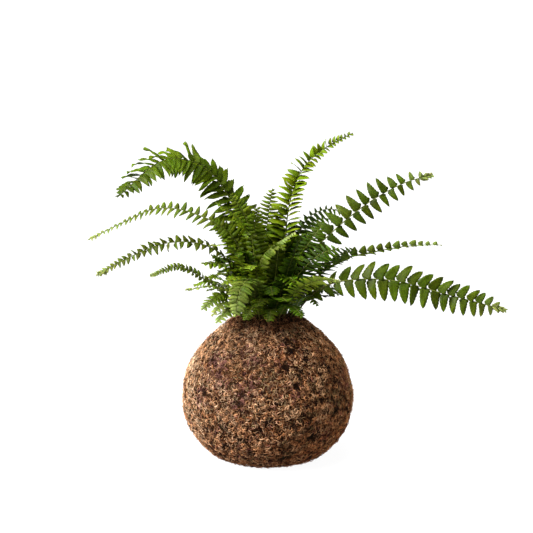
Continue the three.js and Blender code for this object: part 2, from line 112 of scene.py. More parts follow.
def smooth_path(corners: np.ndarray, steps: int) -> np.ndarray:
    """Runs a smooth curve through corner points and spaces its points evenly.

    Args:
        corners: Points that the curve passes through, one a row.
        steps: Number of even steps along the curve.

    Returns:
        The points of the curve, one more than there are steps.
    """
    ends = [2 * corners[0] - corners[1], *corners, 2 * corners[-1] - corners[-2]]
    points = []
    for a, b, c, d in zip(ends, ends[1:], ends[2:], ends[3:]):
        for t in np.linspace(0, 1, CURVE_STEPS, endpoint=False):
            slope_b, slope_c = (c - a) / 2, (d - b) / 2
            cubic = (2 * b - 2 * c + slope_b + slope_c) * t**3
            square = (-3 * b + 3 * c - 2 * slope_b - slope_c) * t**2
            points.append(cubic + square + slope_b * t + b)
    points = np.array([*points, corners[-1]])
    run = np.concatenate([[0], np.cumsum(np.linalg.norm(np.diff(points, axis=0), axis=1))])
    even = np.linspace(0, run[-1], steps + 1)
    return np.stack([np.interp(even, run, column) for column in points.T], axis=1)


# ---------------------------------------------------------------- materials


def add_node(
    owner: Material | World, kind: str, settings: dict | None = None, links: dict | None = None
) -> Node:
    """Adds a shader node, sets its values and connects its inputs.

    Args:
        owner: The material or world that the node goes into.
        kind: The node's type name, without ShaderNode in front.
        settings: Attributes of the node by name, or socket values by socket name or number.
        links: What feeds an input, by its name or number: a socket, or a node's first output.

    Returns:
        The new node.
    """
    tree = owner.node_tree
    node = tree.nodes.new(f"ShaderNode{kind}")
    for name, value in (settings or {}).items():
        if isinstance(name, str) and hasattr(node, name):
            setattr(node, name, value)
        else:
            node.inputs[name].default_value = value
    for name, source in (links or {}).items():
        tree.links.new(source.outputs[0] if isinstance(source, Node) else source, node.inputs[name])
    return node


def span(low: float, high: float, new_low: float, new_high: float) -> dict[str, float]:
    """Names the four values that map one range onto another."""
    return {"From Min": low, "From Max": high, "To Min": new_low, "To Max": new_high}


@dataclass(frozen=True)
class Finish:
    """What every finish starts from: one Principled shader, with grain and relief."""

    label: str
    roughness: float
    relief_mm: float
    ior: float = 1.45
    subsurface: float = 0.0
    scatter_mm: Point = (0.6, 1.0, 0.3)
    specular: float = 0.5
    grain_rough: float = 0.6
    relief_strength: float = 0.8

    def blank(self) -> Material:
        """Makes an empty material.

        Returns:
            The material, with no nodes.
        """
        material = bpy.data.materials.new(self.label)
        material.use_nodes = True
        material.node_tree.nodes.clear()
        return material

    def surface(
        self, material: Material, height: Node, links: dict, settings: dict | None = None
    ) -> Material:
        """Ends a material with its relief and its shader.

        Args:
            material: The material, with its pattern.
            height: The pattern that stands up, by relief_mm from its lowest to its highest.
            links: Nodes that feed the shader, by its input.
            settings: Further values of the shader, by its input.

        Returns:
            The finished material.
        """
        rise = {"Strength": self.relief_strength, "Distance": self.relief_mm * MM}
        relief = add_node(material, "Bump", rise, {"Height": height})
        values = {
            "Roughness": self.roughness,
            "IOR": self.ior,
            "Specular IOR Level": self.specular,
            "Subsurface Weight": self.subsurface,
            "Subsurface Radius": [reach * MM for reach in self.scatter_mm],
            **(settings or {}),
        }
        shader = add_node(material, "BsdfPrincipled", values, {"Normal": relief, **links})
        add_node(material, "OutputMaterial", links={"Surface": shader})
        return material

    def grain(self, material: Material, size_mm: float, detail: float = 3, more: dict | None = None) -> Node:
        """Adds noise on object coordinates.

        Args:
            material: The material that it goes into.
            size_mm: How wide its blotches are.
            detail: How many finer layers it has.
            more: Further settings of the noise.

        Returns:
            The noise.
        """
        place = add_node(material, "TexCoord").outputs["Object"]
        settings = {"Scale": 1 / (size_mm * MM), "Detail": detail, "Roughness": self.grain_rough}
        return add_node(material, "TexNoise", {**settings, **(more or {})}, {"Vector": place})


@dataclass(frozen=True)
class CoirFibre(Finish):
    """Dry coir and moss fibre: matt, dusty strands, each a little different in colour."""

    label: str = "coir and moss fibre"
    roughness: float = 0.85
    relief_mm: float = 0.15
    specular: float = 0.12
    strand_mm: float = 0.9
    mottle: tuple[float, float] = (0.62, 1.35)

    def make(self) -> Material:
        """Makes the material: each strand's own tint, mottled along its length.

        Returns:
            The material.
        """
        material = self.blank()
        tint = add_node(material, "Attribute", {"attribute_name": "tint"})
        grain = self.grain(material, self.strand_mm)
        mottle = add_node(material, "MapRange", span(*NOISE, *self.mottle), {"Value": grain})
        colour = add_node(material, "VectorMath", {"operation": "SCALE"}, {0: tint, "Scale": mottle})
        return self.surface(material, grain, {"Base Color": colour})


@dataclass(frozen=True)
class PackedMoss(Finish):
    """The pressed mat under the loose fibres: fine curled threads, with painted shade darkening the gaps
    between them.
    """

    label: str = "packed moss"
    roughness: float = 0.95
    relief_mm: float = 0.9
    specular: float = 0.05
    # The near-black floor of the painted shade between the threads
    gap: str = "#190a03"
    tones: tuple[str, ...] = ("#6a433c", "#88512a", "#a36e43", "#8d6340", "#837449")
    tone_places: tuple[float, float] = (0.32, 0.68)
    patch_mm: float = 9.0
    thread_mm: float = 1.5
    thread_curl: float = 1.2
    thread_heights: tuple[float, float] = (0.35, 1.3)
    thread_lights: tuple[float, float] = (0.1, 1.25)

    def make(self) -> Material:
        """Makes the material: ridges of noise as threads, in patches of several browns, with painted shade in
        the low gaps between them.

        Returns:
            The material.
        """
        material = self.blank()
        node = partial(add_node, material)
        ridges = {"noise_type": "RIDGED_MULTIFRACTAL", "Distortion": self.thread_curl}
        threads = self.grain(material, self.thread_mm, 2, ridges)
        height = node("MapRange", span(*self.thread_heights, *self.thread_lights), {"Value": threads})
        patches = node("ValToRGB", links={"Fac": self.grain(material, self.patch_mm)})
        stops = patches.color_ramp.elements
        for k, place in enumerate(np.linspace(*self.tone_places, len(self.tones))):
            stop = stops[k] if k < 2 else stops.new(place)
            stop.position, stop.color = place, linear(self.tones[k])
        # Painted shade: the colour follows the threads' height, down to the near-black gap colour between
        # them
        lit = node("VectorMath", {"operation": "SCALE"}, {0: patches, "Scale": height})
        damp = node("VectorMath", {"operation": "MAXIMUM", 1: linear(self.gap)[:3]}, {0: lit})
        return self.surface(material, threads, {"Base Color": damp})


@dataclass(frozen=True)
class FernBlade(Finish):
    """Living fern: a waxy upper skin over thin green tissue, with a paler rib and forked veins."""

    label: str = "fern frond"
    roughness: float = 0.42
    relief_mm: float = 0.12
    ior: float = 1.4
    subsurface: float = 0.4
    specular: float = 0.08
    blotch_mm: float = 5.0
    blotches: tuple[float, float] = (0.82, 1.16)
    glosses: tuple[float, float] = (-0.06, 0.1)
    vein_pairs: int = 11
    vein_slope: float = 0.42
    vein_edge: float = 0.6
    vein_light: float = 0.16
    rib_half: tuple[float, float] = (0.02, 0.07)
    rib_light: float = 0.3

    def make(self) -> Material:
        """Makes the material: the frond's own tint with veins drawn on each pinna's UV map.

        Returns:
            The material.
        """
        material = self.blank()
        node = partial(add_node, material)
        tint = node("Attribute", {"attribute_name": "tint"})
        place = node("SeparateXYZ", links={0: node("UVMap", {"uv_map": "UVMap"})}).outputs
        off_rib = node("Math", {"operation": "SUBTRACT", 1: 0.5}, {0: place["Y"]})
        side = node("Math", {"operation": "ABSOLUTE"}, {0: off_rib})
        rise = node("Math", {"operation": "MULTIPLY", 1: self.vein_slope}, {0: side})
        run = node("Math", {"operation": "SUBTRACT"}, {0: place["X"], 1: rise})
        turns = node("Math", {"operation": "MULTIPLY", 1: self.vein_pairs * math.tau}, {0: run})
        wave = node("Math", {"operation": "SINE"}, {0: turns})
        vein = node("MapRange", span(self.vein_edge, 1, 0, self.vein_light), {"Value": wave})
        rib = node("MapRange", span(*self.rib_half, self.rib_light, 0), {"Value": side})
        lines = node("Math", {"operation": "MAXIMUM"}, {0: vein, 1: rib})
        blotch = self.grain(material, self.blotch_mm)
        shade = node("MapRange", span(*NOISE, *self.blotches), {"Value": blotch})
        bright = node("Math", {"operation": "ADD"}, {0: shade, 1: lines})
        colour = node("VectorMath", {"operation": "SCALE"}, {0: tint, "Scale": bright})
        dull = span(*NOISE, *(self.roughness + change for change in self.glosses))
        gloss = node("MapRange", dull, {"Value": blotch})
        return self.surface(material, lines, {"Base Color": colour, "Roughness": gloss})


@dataclass(frozen=True)
class DampPeat(Finish):
    """Moist peat and clay: almost black, with a few lighter crumbs."""

    label: str = "damp peat"
    roughness: float = 0.9
    relief_mm: float = 0.8
    specular: float = 0.1
    dark: str = "#120b07"
    light: str = "#3a281c"
    crumb_mm: float = 1.6

    def make(self) -> Material:
        """Makes the material: small dark crumbs.

        Returns:
            The material.
        """
        material = self.blank()
        grain = self.grain(material, self.crumb_mm, 4)
        crumbs = add_node(material, "ValToRGB", links={"Fac": grain})
        for stop, tone in zip(crumbs.color_ramp.elements, (self.dark, self.light)):
            stop.color = linear(tone)
        return self.surface(material, grain, {"Base Color": crumbs})


@dataclass(frozen=True)
class RhizomeScale(DampPeat):
    """The crown's papery scales: rust brown over near black."""

    label: str = "rhizome scales"
    dark: str = "#1a0d06"
    light: str = "#6a4020"
    crumb_mm: float = 1.1


@dataclass(frozen=True)
class LightTable(Finish):
    """White cast acrylic lit from below: flat, matt and almost free of shadows, with a faint tooth."""

    label: str = "lit white acrylic"
    roughness: float = 0.9
    relief_mm: float = 0.05
    specular: float = 0.0
    colour: str = "#5c5c5c"
    glow: float = 0.96
    tooth_mm: float = 3.0

    def make(self) -> Material:
        """Makes the material: one pale tone with its own glow and a trace of tooth.

        Returns:
            The material.
        """
        material = self.blank()
        tooth = self.grain(material, self.tooth_mm)
        glow = {"Emission Color": (1, 1, 1, 1), "Emission Strength": self.glow}
        return self.surface(material, tooth, {}, {"Base Color": linear(self.colour), **glow})


# ---------------------------------------------------------------- moulds and pieces


@dataclass
class Mould:
    """A small closed shape, made once with bmesh, of which bent copies are laid down."""

    points: np.ndarray
    corners: np.ndarray
    starts: np.ndarray
    uv: np.ndarray

    @classmethod
    def read(cls, bm: bmesh.types.BMesh) -> "Mould":
        """Takes the points, faces and UVs out of a bmesh, and frees it.

        Args:
            bm: The finished shape.

        Returns:
            The mould.
        """
        bm.verts.index_update()
        layer = bm.loops.layers.uv.verify()
        points = np.array([vert.co[:] for vert in bm.verts])
        corners, starts, uv = [], [], []
        for face in bm.faces:
            starts.append(len(corners))
            for loop in face.loops:
                corners.append(loop.vert.index)
                uv.append(loop[layer].uv[:])
        bm.free()
        return cls(points, np.array(corners), np.array(starts), np.array(uv))

    def mirrored(self) -> "Mould":
        """Turns the faces round, for copies that are laid down mirrored.

        Returns:
            A mould with the same points.
        """
        ends = np.append(self.starts[1:], len(self.corners))
        order = np.concatenate([np.arange(end - 1, start - 1, -1) for start, end in zip(self.starts, ends)])
        return replace(self, corners=self.corners[order], uv=self.uv[order])


def blade_mould(along: int, across: int) -> Mould:
    """Makes a flat slab from root (x 0) to tip (x 1), with y and z from -0.5 to 0.5.

    Args:
        along: Faces along the blade.
        across: Faces across it.

    Returns:
        The slab, whose UV map runs along in U and across in V.
    """
    bm = bmesh.new()
    bm.loops.layers.uv.new("UVMap")
    bmesh.ops.create_grid(bm, x_segments=along, y_segments=across, size=0.5, calc_uvs=True)
    bmesh.ops.translate(bm, verts=bm.verts, vec=(0.5, 0, 0.5))
    bmesh.ops.solidify(bm, geom=bm.faces[:], thickness=1.0)
    low = min(vert.co.z for vert in bm.verts)
    bmesh.ops.translate(bm, verts=bm.verts, vec=(0, 0, -0.5 - low))
    bmesh.ops.recalc_face_normals(bm, faces=bm.faces)
    return Mould.read(bm)


def rod_mould(sides: int, steps: int, pointed: bool = False) -> Mould:
    """Makes a closed rod of radius 1 that runs from z 0 to z 1.

    Args:
        sides: Faces round the rod.
        steps: Faces along it.
        pointed: Whether both ends run to a point.

    Returns:
        The rod, with a blank UV map.
    """
    bm = bmesh.new()
    bm.loops.layers.uv.new("UVMap")
    bmesh.ops.create_cone(bm, cap_ends=True, segments=sides, radius1=1, radius2=1, depth=1)
    bmesh.ops.translate(bm, verts=bm.verts, vec=(0, 0, 0.5))
    upright = [edge for edge in bm.edges if abs(edge.verts[0].co.z - edge.verts[1].co.z) > 0.5]
    bmesh.ops.subdivide_edges(bm, edges=upright, cuts=steps - 1)
    if pointed:
        for level in (0, 1):
            ring = [vert for vert in bm.verts if abs(vert.co.z - level) < 1e-4]
            bmesh.ops.pointmerge(bm, verts=ring, merge_co=(0, 0, level))
    bmesh.ops.recalc_face_normals(bm, faces=bm.faces)
    return Mould.read(bm)


@dataclass
class Piece:
    """Gathers bent copies of moulds into one mesh with a tint for each copy."""

    name: str
    points: list[np.ndarray] = field(default_factory=list)
    corners: list[np.ndarray] = field(default_factory=list)
    starts: list[np.ndarray] = field(default_factory=list)
    uv: list[np.ndarray] = field(default_factory=list)
    tint: list[np.ndarray] = field(default_factory=list)
    count: int = 0
    loops: int = 0

    def add(self, mould: Mould, bent: np.ndarray, tint: np.ndarray) -> None:
        """Lays down copies of a mould.

        Args:
            mould: The shape that is copied.
            bent: The copies' points, as copies by points by 3.
            tint: Linear colours of the same layout, or one that spreads to it.
        """
        copies, size = bent.shape[0], bent.shape[1]
        first = self.count + np.arange(copies)[:, None] * size
        loop = self.loops + np.arange(copies)[:, None] * len(mould.corners)
        self.points.append(bent.reshape(-1, 3))
        self.corners.append((mould.corners[None, :] + first).ravel())
        self.starts.append((mould.starts[None, :] + loop).ravel())
        self.uv.append(np.tile(mould.uv, (copies, 1)))
        self.tint.append(np.broadcast_to(tint, bent.shape).reshape(-1, 3))
        self.count += copies * size
        self.loops += copies * len(mould.corners)

    def build(self, material: Material, slot: str, nodes: tuple[str, ...] = ()) -> Object:
        """Makes the object, rides it on the part and hides the nodes that it stands for.

        Args:
            material: The finish.
            slot: Not used.
            nodes: CAD nodes that the piece replaces.

        Returns:
            The finished object.
        """
        mesh = bpy.data.meshes.new(self.name)
        corners, starts = np.concatenate(self.corners), np.concatenate(self.starts)
        uv, tints = np.concatenate(self.uv), np.concatenate(self.tint)
        mesh.vertices.add(self.count)
        mesh.vertices.foreach_set("co", (np.concatenate(self.points) * MM).astype(np.float32).ravel())
        mesh.loops.add(self.loops)
        mesh.loops.foreach_set("vertex_index", corners.astype(np.int32))
        mesh.polygons.add(len(starts))
        mesh.polygons.foreach_set("loop_start", starts.astype(np.int32))
        mesh.polygons.foreach_set("use_smooth", np.ones(len(starts), dtype=bool))
        mesh.update(calc_edges=True)
        mesh.uv_layers.new(name="UVMap").uv.foreach_set("vector", uv.astype(np.float32).ravel())
        solid = np.concatenate([tints, np.ones((len(tints), 1))], axis=1)
        layer = mesh.color_attributes.new("tint", "FLOAT_COLOR", "POINT")
        layer.data.foreach_set("color", solid.astype(np.float32).ravel())
        mesh.validate()
        return show(mesh, self.name, material, nodes)


def show(mesh: Mesh, name: str, material: Material, nodes: tuple[str, ...]) -> Object:
    """Links a mesh as a piece of the object, with its finish and body.

    Args:
        mesh: The finished mesh.
        name: The piece's name.
        material: Its finish.
        nodes: CAD nodes that the piece replaces.

    Returns:
        The piece's object.
    """
    piece = bpy.data.objects.new(name, mesh)
    bpy.context.scene.collection.objects.link(piece)
    mesh.materials.append(material)
    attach(piece, BODY)
    if nodes:
        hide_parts(*nodes)
    return piece


# ---------------------------------------------------------------- the moss ball


class FibreTone(Enum):
    """Colours of single strands, from dry straw to damp bark, each with its share of them."""

    STRAW = ("#cca37d", 0.24)
    TAN = ("#bd895f", 0.32)
    RUST = ("#94603c", 0.15)
    BROWN = ("#7c4e31", 0.11)
    PLUM = ("#8a5a4d", 0.04)
    BARK = ("#241107", 0.07)
    SAGE = ("#9a825c", 0.04)

    @property
    def colour(self) -> np.ndarray:
        """The strand's linear colour."""
        return rgb(self.value[0])

    @property
    def share(self) -> float:
        """The share of all strands that has it, before the drifts and holes."""
        return self.value[1]


@dataclass
class MossBall:
    """The moss wrap: a pressed, lumpy layer with curled fibres all over it."""

    outside: tuple[tuple[float, float], ...] = (
        (0, 0), (27, 0), (40, 4), (50, 10), (57.5, 18), (63, 26.5), (66.8, 36), (69, 46), (69, 57),
        (66.8, 70), (62, 82.5), (54.5, 94), (45.5, 103.5), (37, 110.5), (30, 116),
    )
    inside: tuple[tuple[float, float], ...] = (
        (28, 114.5), (28, 105.5), (45, 93), (57.5, 72), (60.5, 50), (54, 27), (33, 8), (0, 8),
    )
    # The hand-packed lumps, as waves of so many turns, with a rise by height and a shift
    lump_waves: tuple[Point, ...] = ((3, 0.07, 0), (7, -0.11, 2), (5, 0.19, 4))
    lump: float = 0.9
    lump_fade: float = 8.0
    rim_z: float = 109.0
    # The pressed layer, which is roughened outside its core and above its foot
    skin_steps: int = 64
    turns: int = 120
    foot_z: float = 0.5
    core_z: float = 53.0
    core_radius: float = 63.0
    rough: tuple[float, float] = (-0.9, -0.1)
    # The loose strands: their shape, and their height over the surface by what lies under them
    seat_steps: int = 400
    least_radius: float = 3.0
    fibres: int = 41200
    patches: int = 4
    strand_radius: tuple[float, float] = (0.14, 0.28)
    strand_length: tuple[float, float] = (2.8, 7.0)
    strand_curl: tuple[float, float] = (1.2, 5.2)
    strand_arch: tuple[float, float] = (0.2, 1.3)
    strand_foot: tuple[float, float] = (-0.5, 0.9)
    strand_tip: float = -0.4
    thinning: float = 0.6
    floor_z: float = 0.02
    fur_lift: float = 1.5
    fur_sunk: float = 0.7
    fur_tuft: float = 1.5
    fur_hole: float = 0.6
    # The tufts and pits, as crossing waves, each with its way and shift
    pit_mm: float = 6.0
    pit_soft: float = 5.0
    waves: tuple[tuple[Point, float], ...] = (
        ((0.8, 0.5, 0.33), 0.4), ((-0.45, 0.7, 0.6), 1.9), ((0.3, -0.62, 0.75), 3.1),
        ((1.3, -0.9, 0.8), 0.9), ((-0.9, -1.2, 1.1), 2.2), ((0.6, 1.3, -1.4), 4.4),
    )
    # Patches where one colour gathers, as waves of several lengths
    mood_mm: float = 15.0
    mood_scales: Point = (1, 1.6, 0.6)
    mood_weight: float = 1.5
    # Drifts of plum moss, then paler spots, each as a place on the surface and a radius
    drifts: tuple[Spot, ...] = (
        (-19, -64, 70, 9), (-38, -46, 86, 11), (-52, -44, 61, 8), (-36, -53, 76, 9), (-23, -64, 61, 7),
        (-13, -54, 92, 7), (23, -63, 66, 7), (-16, -48, 98, 6), (-12, -64, 74, 8), (47, -48, 28, 8),
        (60, -26, 70, 9), (-64, 4, 60, 11), (-40, 50, 78, 11), (10, 68, 50, 12), (50, 42, 34, 11),
        (58, 20, 84, 10), (-50, 34, 26, 10),
    )
    drift_weight: float = 1.7
    pale: tuple[Spot, ...] = (
        (-1, -65, 74, 7), (3, -63, 80, 6), (23, -31, 110, 8), (41, -27, 100, 7), (20, 60, 80, 8),
        (-60, 20, 84, 8),
    )
    pale_weight: float = 0.6
    # Holes between the tufts, where no light falls: strands there sink, gather dark bark and take painted
    # shade
    holes: tuple[Spot, ...] = (
        (12, -58, 87, 3.8), (15, -42, 104, 4.2), (-7, -67, 40, 3.4), (7, -57, 88, 2.8), (-22, -65, 60, 3.2),
        (36, -11, 110, 3), (47, -40, 83, 3.2), (35, -54, 31, 3.6), (53, -44, 51, 3.2), (-50, -46, 64, 3.2),
        (-19, -64, 67, 3), (18, -48, 98, 3.4), (25, -56, 83, 2.6), (22, -62, 72, 2.8), (42, -54, 60, 2.8),
        (2, -69, 48, 2.4), (-31, -61, 43, 2.4), (33, -60, 48, 2.8), (-9, -45, 103, 2.2), (55, -38, 69, 2.8),
    )
    small_holes: int = 420
    small_hole: tuple[float, float] = (0.7, 2.0)
    # Painted shade: dark bark strands gather in the holes and, less, in the pits
    hole_weight: float = 6.0
    pit_weight: float = 0.25
    # How drifts, pale spots and holes fade out, past their radius
    spot_edge: float = 1.25
    spot_fade: float = 1.3
    # Sage moss gathers towards the upper right
    sage_weight: float = 0.22
    sage_x: float = 70.0
    sage_z: float = 90.0
    # Painted light and shade on the strands: painted shade darkens the foot, the pits and the holes, and
    # painted light brightens the tufts
    # Painted shade at the foot of the ball: the strands' brightness there, rising to full higher up
    damp: float = 0.38
    foot_shade_z: float = 34.0
    pit_light: float = 0.5
    tuft_light: float = 1.1
    hole_dark: float = 0.85
    strand_light: tuple[float, float] = (0.6, 1.35)
    # Painted light and shade in the hue: red, green and blue change from the paler, lit left side to the
    # darker, redder right side, and turn redder and darker at the foot
    painted_side_tint: Point = (-0.09, -0.22, -0.36)
    painted_foot_tint: Point = (0.08, -0.14, -0.28)
    reach: float = 69.0
    low_z: float = 50.0
    # The collar's strands, and its height by distance from the middle
    collar_strands: int = 2200
    collar_radius: float = 34.0
    collar_top: tuple[tuple[float, float], ...] = (
        (0, 119), (14, 118.6), (24, 118.2), (30, 116.4), (36, 111.5),
    )
    collar_loose: float = 0.45
    collar_leans: tuple[float, float] = (1.0, 0.08)
    collar_light: tuple[float, float] = (0.5, 1.2)
    collar_lift: float = 3.0

    def lumps(self, around: np.ndarray | float, z: np.ndarray | float) -> np.ndarray:
        """Works out how far the hand-packed surface stands out.

        Args:
            around: Angles round the ball.
            z: Heights.

        Returns:
            The distances, none at the foot and the rim.
        """
        waves = [np.sin(turns * around + rise * z + shift) for turns, rise, shift in self.lump_waves]
        fade = ramp(z, 0, self.lump_fade) * ramp(self.rim_z - z, 0, self.lump_fade)
        return sum(waves) * self.lump / len(waves) * fade

    def pits(self, points: np.ndarray) -> np.ndarray:
        """Works out how much the moss stands up in tufts.

        Args:
            points: Places on the surface.

        Returns:
            From 0 in a pit to 1 on a tuft.
        """
        turns = math.tau / self.pit_mm
        waves = [np.sin(points @ np.array(way) * turns + shift) for way, shift in self.waves]
        return np.clip(0.5 + sum(waves) / self.pit_soft, 0, 1)

    def body(self) -> Object:
        """Spins the pressed layer from its profile and roughens it.

        Returns:
            The layer's object.
        """
        skin = smooth_path(np.array(self.outside[1:]), self.skin_steps)
        profile = [(0.0, 0.0), *map(tuple, skin), *self.inside]
        bm = bmesh.new()
        verts = [bm.verts.new((r, 0, z)) for r, z in profile]
        geom = [*verts, *(bm.edges.new(pair) for pair in zip(verts, verts[1:]))]
        axis = {"cent": (0, 0, 0), "axis": (0, 0, 1), "angle": math.tau}
        bmesh.ops.spin(bm, geom=geom, steps=self.turns, use_merge=True, **axis)
        bmesh.ops.remove_doubles(bm, verts=bm.verts, dist=1e-4)
        bmesh.ops.recalc_face_normals(bm, faces=bm.faces)
        noise = np.random.default_rng(SEED)
        for vert in bm.verts:
            radius = math.hypot(vert.co.x, vert.co.y)
            if vert.co.z > self.foot_z and math.hypot(radius, vert.co.z - self.core_z) > self.core_radius:
                around = math.atan2(vert.co.y, vert.co.x)
                out = float(self.lumps(around, vert.co.z)) + noise.uniform(*self.rough)
                vert.co += Vector((vert.co.x, vert.co.y, 0)) / max(radius, 1) * out
        bmesh.ops.scale(bm, vec=(MM, MM, MM), verts=bm.verts)
        mesh = bpy.data.meshes.new("moss_body")
        bm.to_mesh(mesh)
        bm.free()
        mesh.polygons.foreach_set("use_smooth", np.ones(len(mesh.polygons), dtype=bool))
        return show(mesh, "moss_body", PackedMoss().make(), ("moss_wrap",))

    def seats(self, rng: np.random.Generator, count: int) -> tuple[np.ndarray, np.ndarray]:
        """Scatters points evenly over the outside.

        Args:
            rng: The seeded source of chance.
            count: Number of points.

        Returns:
            The points, and the outward normals there.
        """
        skin = smooth_path(np.array(self.outside[1:]), self.seat_steps)
        middle, step = (skin[1:] + skin[:-1]) / 2, np.diff(skin, axis=0)
        weight = np.maximum(middle[:, 0], self.least_radius) * np.linalg.norm(step, axis=1)
        pick = rng.choice(len(middle), size=count, p=weight / weight.sum())
        place = skin[pick] + step[pick] * rng.random((count, 1))
        around = rng.uniform(-math.pi, math.pi, count)
        radius = np.abs(place[:, 0]) + self.lumps(around, place[:, 1])
        points = np.stack([radius * np.cos(around), radius * np.sin(around), place[:, 1]], axis=1)
        out = unit(np.stack([step[pick, 1], -step[pick, 0]], axis=1))
        normals = np.stack([out[:, 0] * np.cos(around), out[:, 0] * np.sin(around), out[:, 1]], axis=1)
        return points, normals

    def near(self, points: np.ndarray, spots: np.ndarray) -> np.ndarray:
        """Works out how deep points lie inside the nearest of some round spots.

        Args:
            points: Places on the surface.
            spots: Places and radii, one row a spot.

        Returns:
            From 0 outside all spots to 1 in the middle of one.
        """
        away = np.full(len(points), np.inf)
        for spot in spots:
            away = np.minimum(away, np.linalg.norm(points - spot[:3], axis=1) / spot[3])
        return np.clip(self.spot_edge - away, 0, 1) ** self.spot_fade

    def openings(self) -> np.ndarray:
        """Lists the holes in the moss: the large ones and many small ones.

        Returns:
            Places and radii, one row a hole.
        """
        rng = np.random.default_rng(HOLE_SEED)
        points, _ = self.seats(rng, self.small_holes)
        small = np.column_stack([points, rng.uniform(*self.small_hole, len(points))])
        return np.concatenate([np.array(self.holes), small])

    def tints(
        self, rng: np.random.Generator, points: np.ndarray, tuft: np.ndarray, hole: np.ndarray
    ) -> np.ndarray:
        """Chooses each strand's colour, with painted light and shade: pale on the tufts, near black in the
        holes, darker at the foot and towards the right.

        Args:
            rng: The seeded source of chance.
            points: Where the strands lie.
            tuft: How much the moss stands up there.
            hole: How deep in a hole they lie.

        Returns:
            One linear colour a strand.
        """
        tones = list(FibreTone)
        z = points[:, 2]
        ways = np.random.default_rng(MOOD_SEED).normal(size=(len(self.mood_scales), len(tones), 3))
        ways = unit(ways) * math.tau / self.mood_mm
        moods = [np.sin(points @ ways[k].T * scale + k) for k, scale in enumerate(self.mood_scales)]
        sage = self.sage_weight * ramp(points[:, 0], 0, self.sage_x) * ramp(z, 0, self.sage_z)
        more = {
            FibreTone.PLUM: self.drift_weight * self.near(points, np.array(self.drifts)),
            FibreTone.SAGE: self.pale_weight * self.near(points, np.array(self.pale)) + sage,
            # Painted shade: bark strands gather in the holes and the pits
            FibreTone.BARK: self.hole_weight * hole + self.pit_weight * (1 - tuft),
        }
        chance = np.array([tone.share for tone in tones]) * np.exp(self.mood_weight * sum(moods) / 2)
        for tone, extra in more.items():
            chance[:, tones.index(tone)] += extra
        chance /= chance.sum(axis=1, keepdims=True)
        pick = (rng.random((len(points), 1)) > np.cumsum(chance, axis=1)).sum(axis=1)
        # Painted light and shade in the hue: paler on the lit left, darker and redder on the right and at the
        # foot
        aside = np.clip(points[:, :1] / self.reach, -1, 1)
        low = 1 - ramp(points[:, 2:], 0, self.low_z)
        painted_hue_shift = 1 + aside * np.array(self.painted_side_tint) + low * np.array(self.painted_foot_tint)
        # Painted shade towards the foot and in the pits, painted light on the tufts
        light = mix(self.damp, 1, ramp(z, 0, self.foot_shade_z)) * mix(self.pit_light, self.tuft_light, tuft)
        # Painted shade, near black, in the holes
        light = light * (1 - self.hole_dark * hole)
        shade = light[:, None] * rng.uniform(*self.strand_light, (len(points), 1))
        colours = np.array([tone.colour for tone in tones])
        return colours[np.minimum(pick, len(tones) - 1)] * shade * painted_hue_shift

    def strands(
        self,
        rng: np.random.Generator,
        mould: Mould,
        points: np.ndarray,
        normals: np.ndarray,
        lift: float,
        height: np.ndarray | float = 0.0,
    ) -> np.ndarray:
        """Curls copies of a rod along the surface.

        Args:
            rng: The seeded source of chance.
            mould: The rod.
            points: Where the strands lie.
            normals: Outward directions there.
            lift: How far the loosest strands stand off.
            height: Extra height of each strand over its place.

        Returns:
            The strands' points, as strands by points by 3.
        """
        count = len(points)
        helper = np.where(np.abs(normals[:, 2:]) > 0.9, [[1.0, 0, 0]], [[0, 0, 1.0]])
        east = unit(np.cross(helper, normals))
        north = np.cross(normals, east)
        heading = rng.uniform(0, math.tau, (count, 1))
        curl = rng.uniform(*self.strand_curl, (count, 1)) * rng.choice([-1, 1], (count, 1))
        length = rng.uniform(*self.strand_length, (count, 1))
        levels = np.unique(np.round(mould.points[:, 2], 6))
        s = levels[None, :]
        turn = heading + curl * s - curl / (len(levels) - 1) / 2
        step = np.diff(levels, prepend=0)[None, :] * length
        x, y = np.cumsum(np.cos(turn) * step, axis=1), np.cumsum(np.sin(turn) * step, axis=1)
        x, y = x - x.mean(axis=1, keepdims=True), y - y.mean(axis=1, keepdims=True)
        foot, tip = rng.uniform(*self.strand_foot, (count, 1)), rng.uniform(self.strand_tip, lift, (count, 1))
        high = rng.uniform(*self.strand_arch, (count, 1)) * np.sin(math.pi * s) + foot * (1 - s) + tip * s**2
        high = high + np.reshape(height, (-1, 1))
        centre = points[:, None] + x[..., None] * east[:, None] + y[..., None] * north[:, None]
        centre = centre + high[..., None] * normals[:, None]
        along = np.gradient(centre, axis=1)
        side = unit(np.cross(normals[:, None], along))
        up = unit(np.cross(along, side))
        level = np.searchsorted(levels, np.round(mould.points[:, 2], 6))
        thin = 1 - self.thinning * np.abs(2 * s - 1) ** 3
        thick = rng.uniform(*self.strand_radius, (count, 1)) * thin
        ring = mould.points[None, :, :2] * thick[:, level, None]
        bent = centre[:, level] + ring[..., :1] * side[:, level] + ring[..., 1:] * up[:, level]
        bent[..., 2] = np.maximum(bent[..., 2], self.floor_z)
        return bent

    def fur(self) -> list[Object]:
        """Covers the ball in curled fibres, in several pieces that lie through one another.

        Returns:
            The pieces' objects.
        """
        finish = CoirFibre().make()
        mould = rod_mould(3, 3, pointed=True)
        openings = self.openings()
        made = []
        for patch in range(self.patches):
            rng = np.random.default_rng(SEED + patch)
            points, normals = self.seats(rng, self.fibres // self.patches)
            tuft, hole = self.pits(points), self.near(points, openings)
            height = self.fur_tuft * tuft - self.fur_sunk - self.fur_hole * hole
            bent = self.strands(rng, mould, points, normals, self.fur_lift, height)
            piece = Piece(f"moss_fibres_{patch + 1}")
            piece.add(mould, bent, self.tints(rng, points, tuft, hole)[:, None])
            made.append(piece.build(finish, "moss"))
        return made

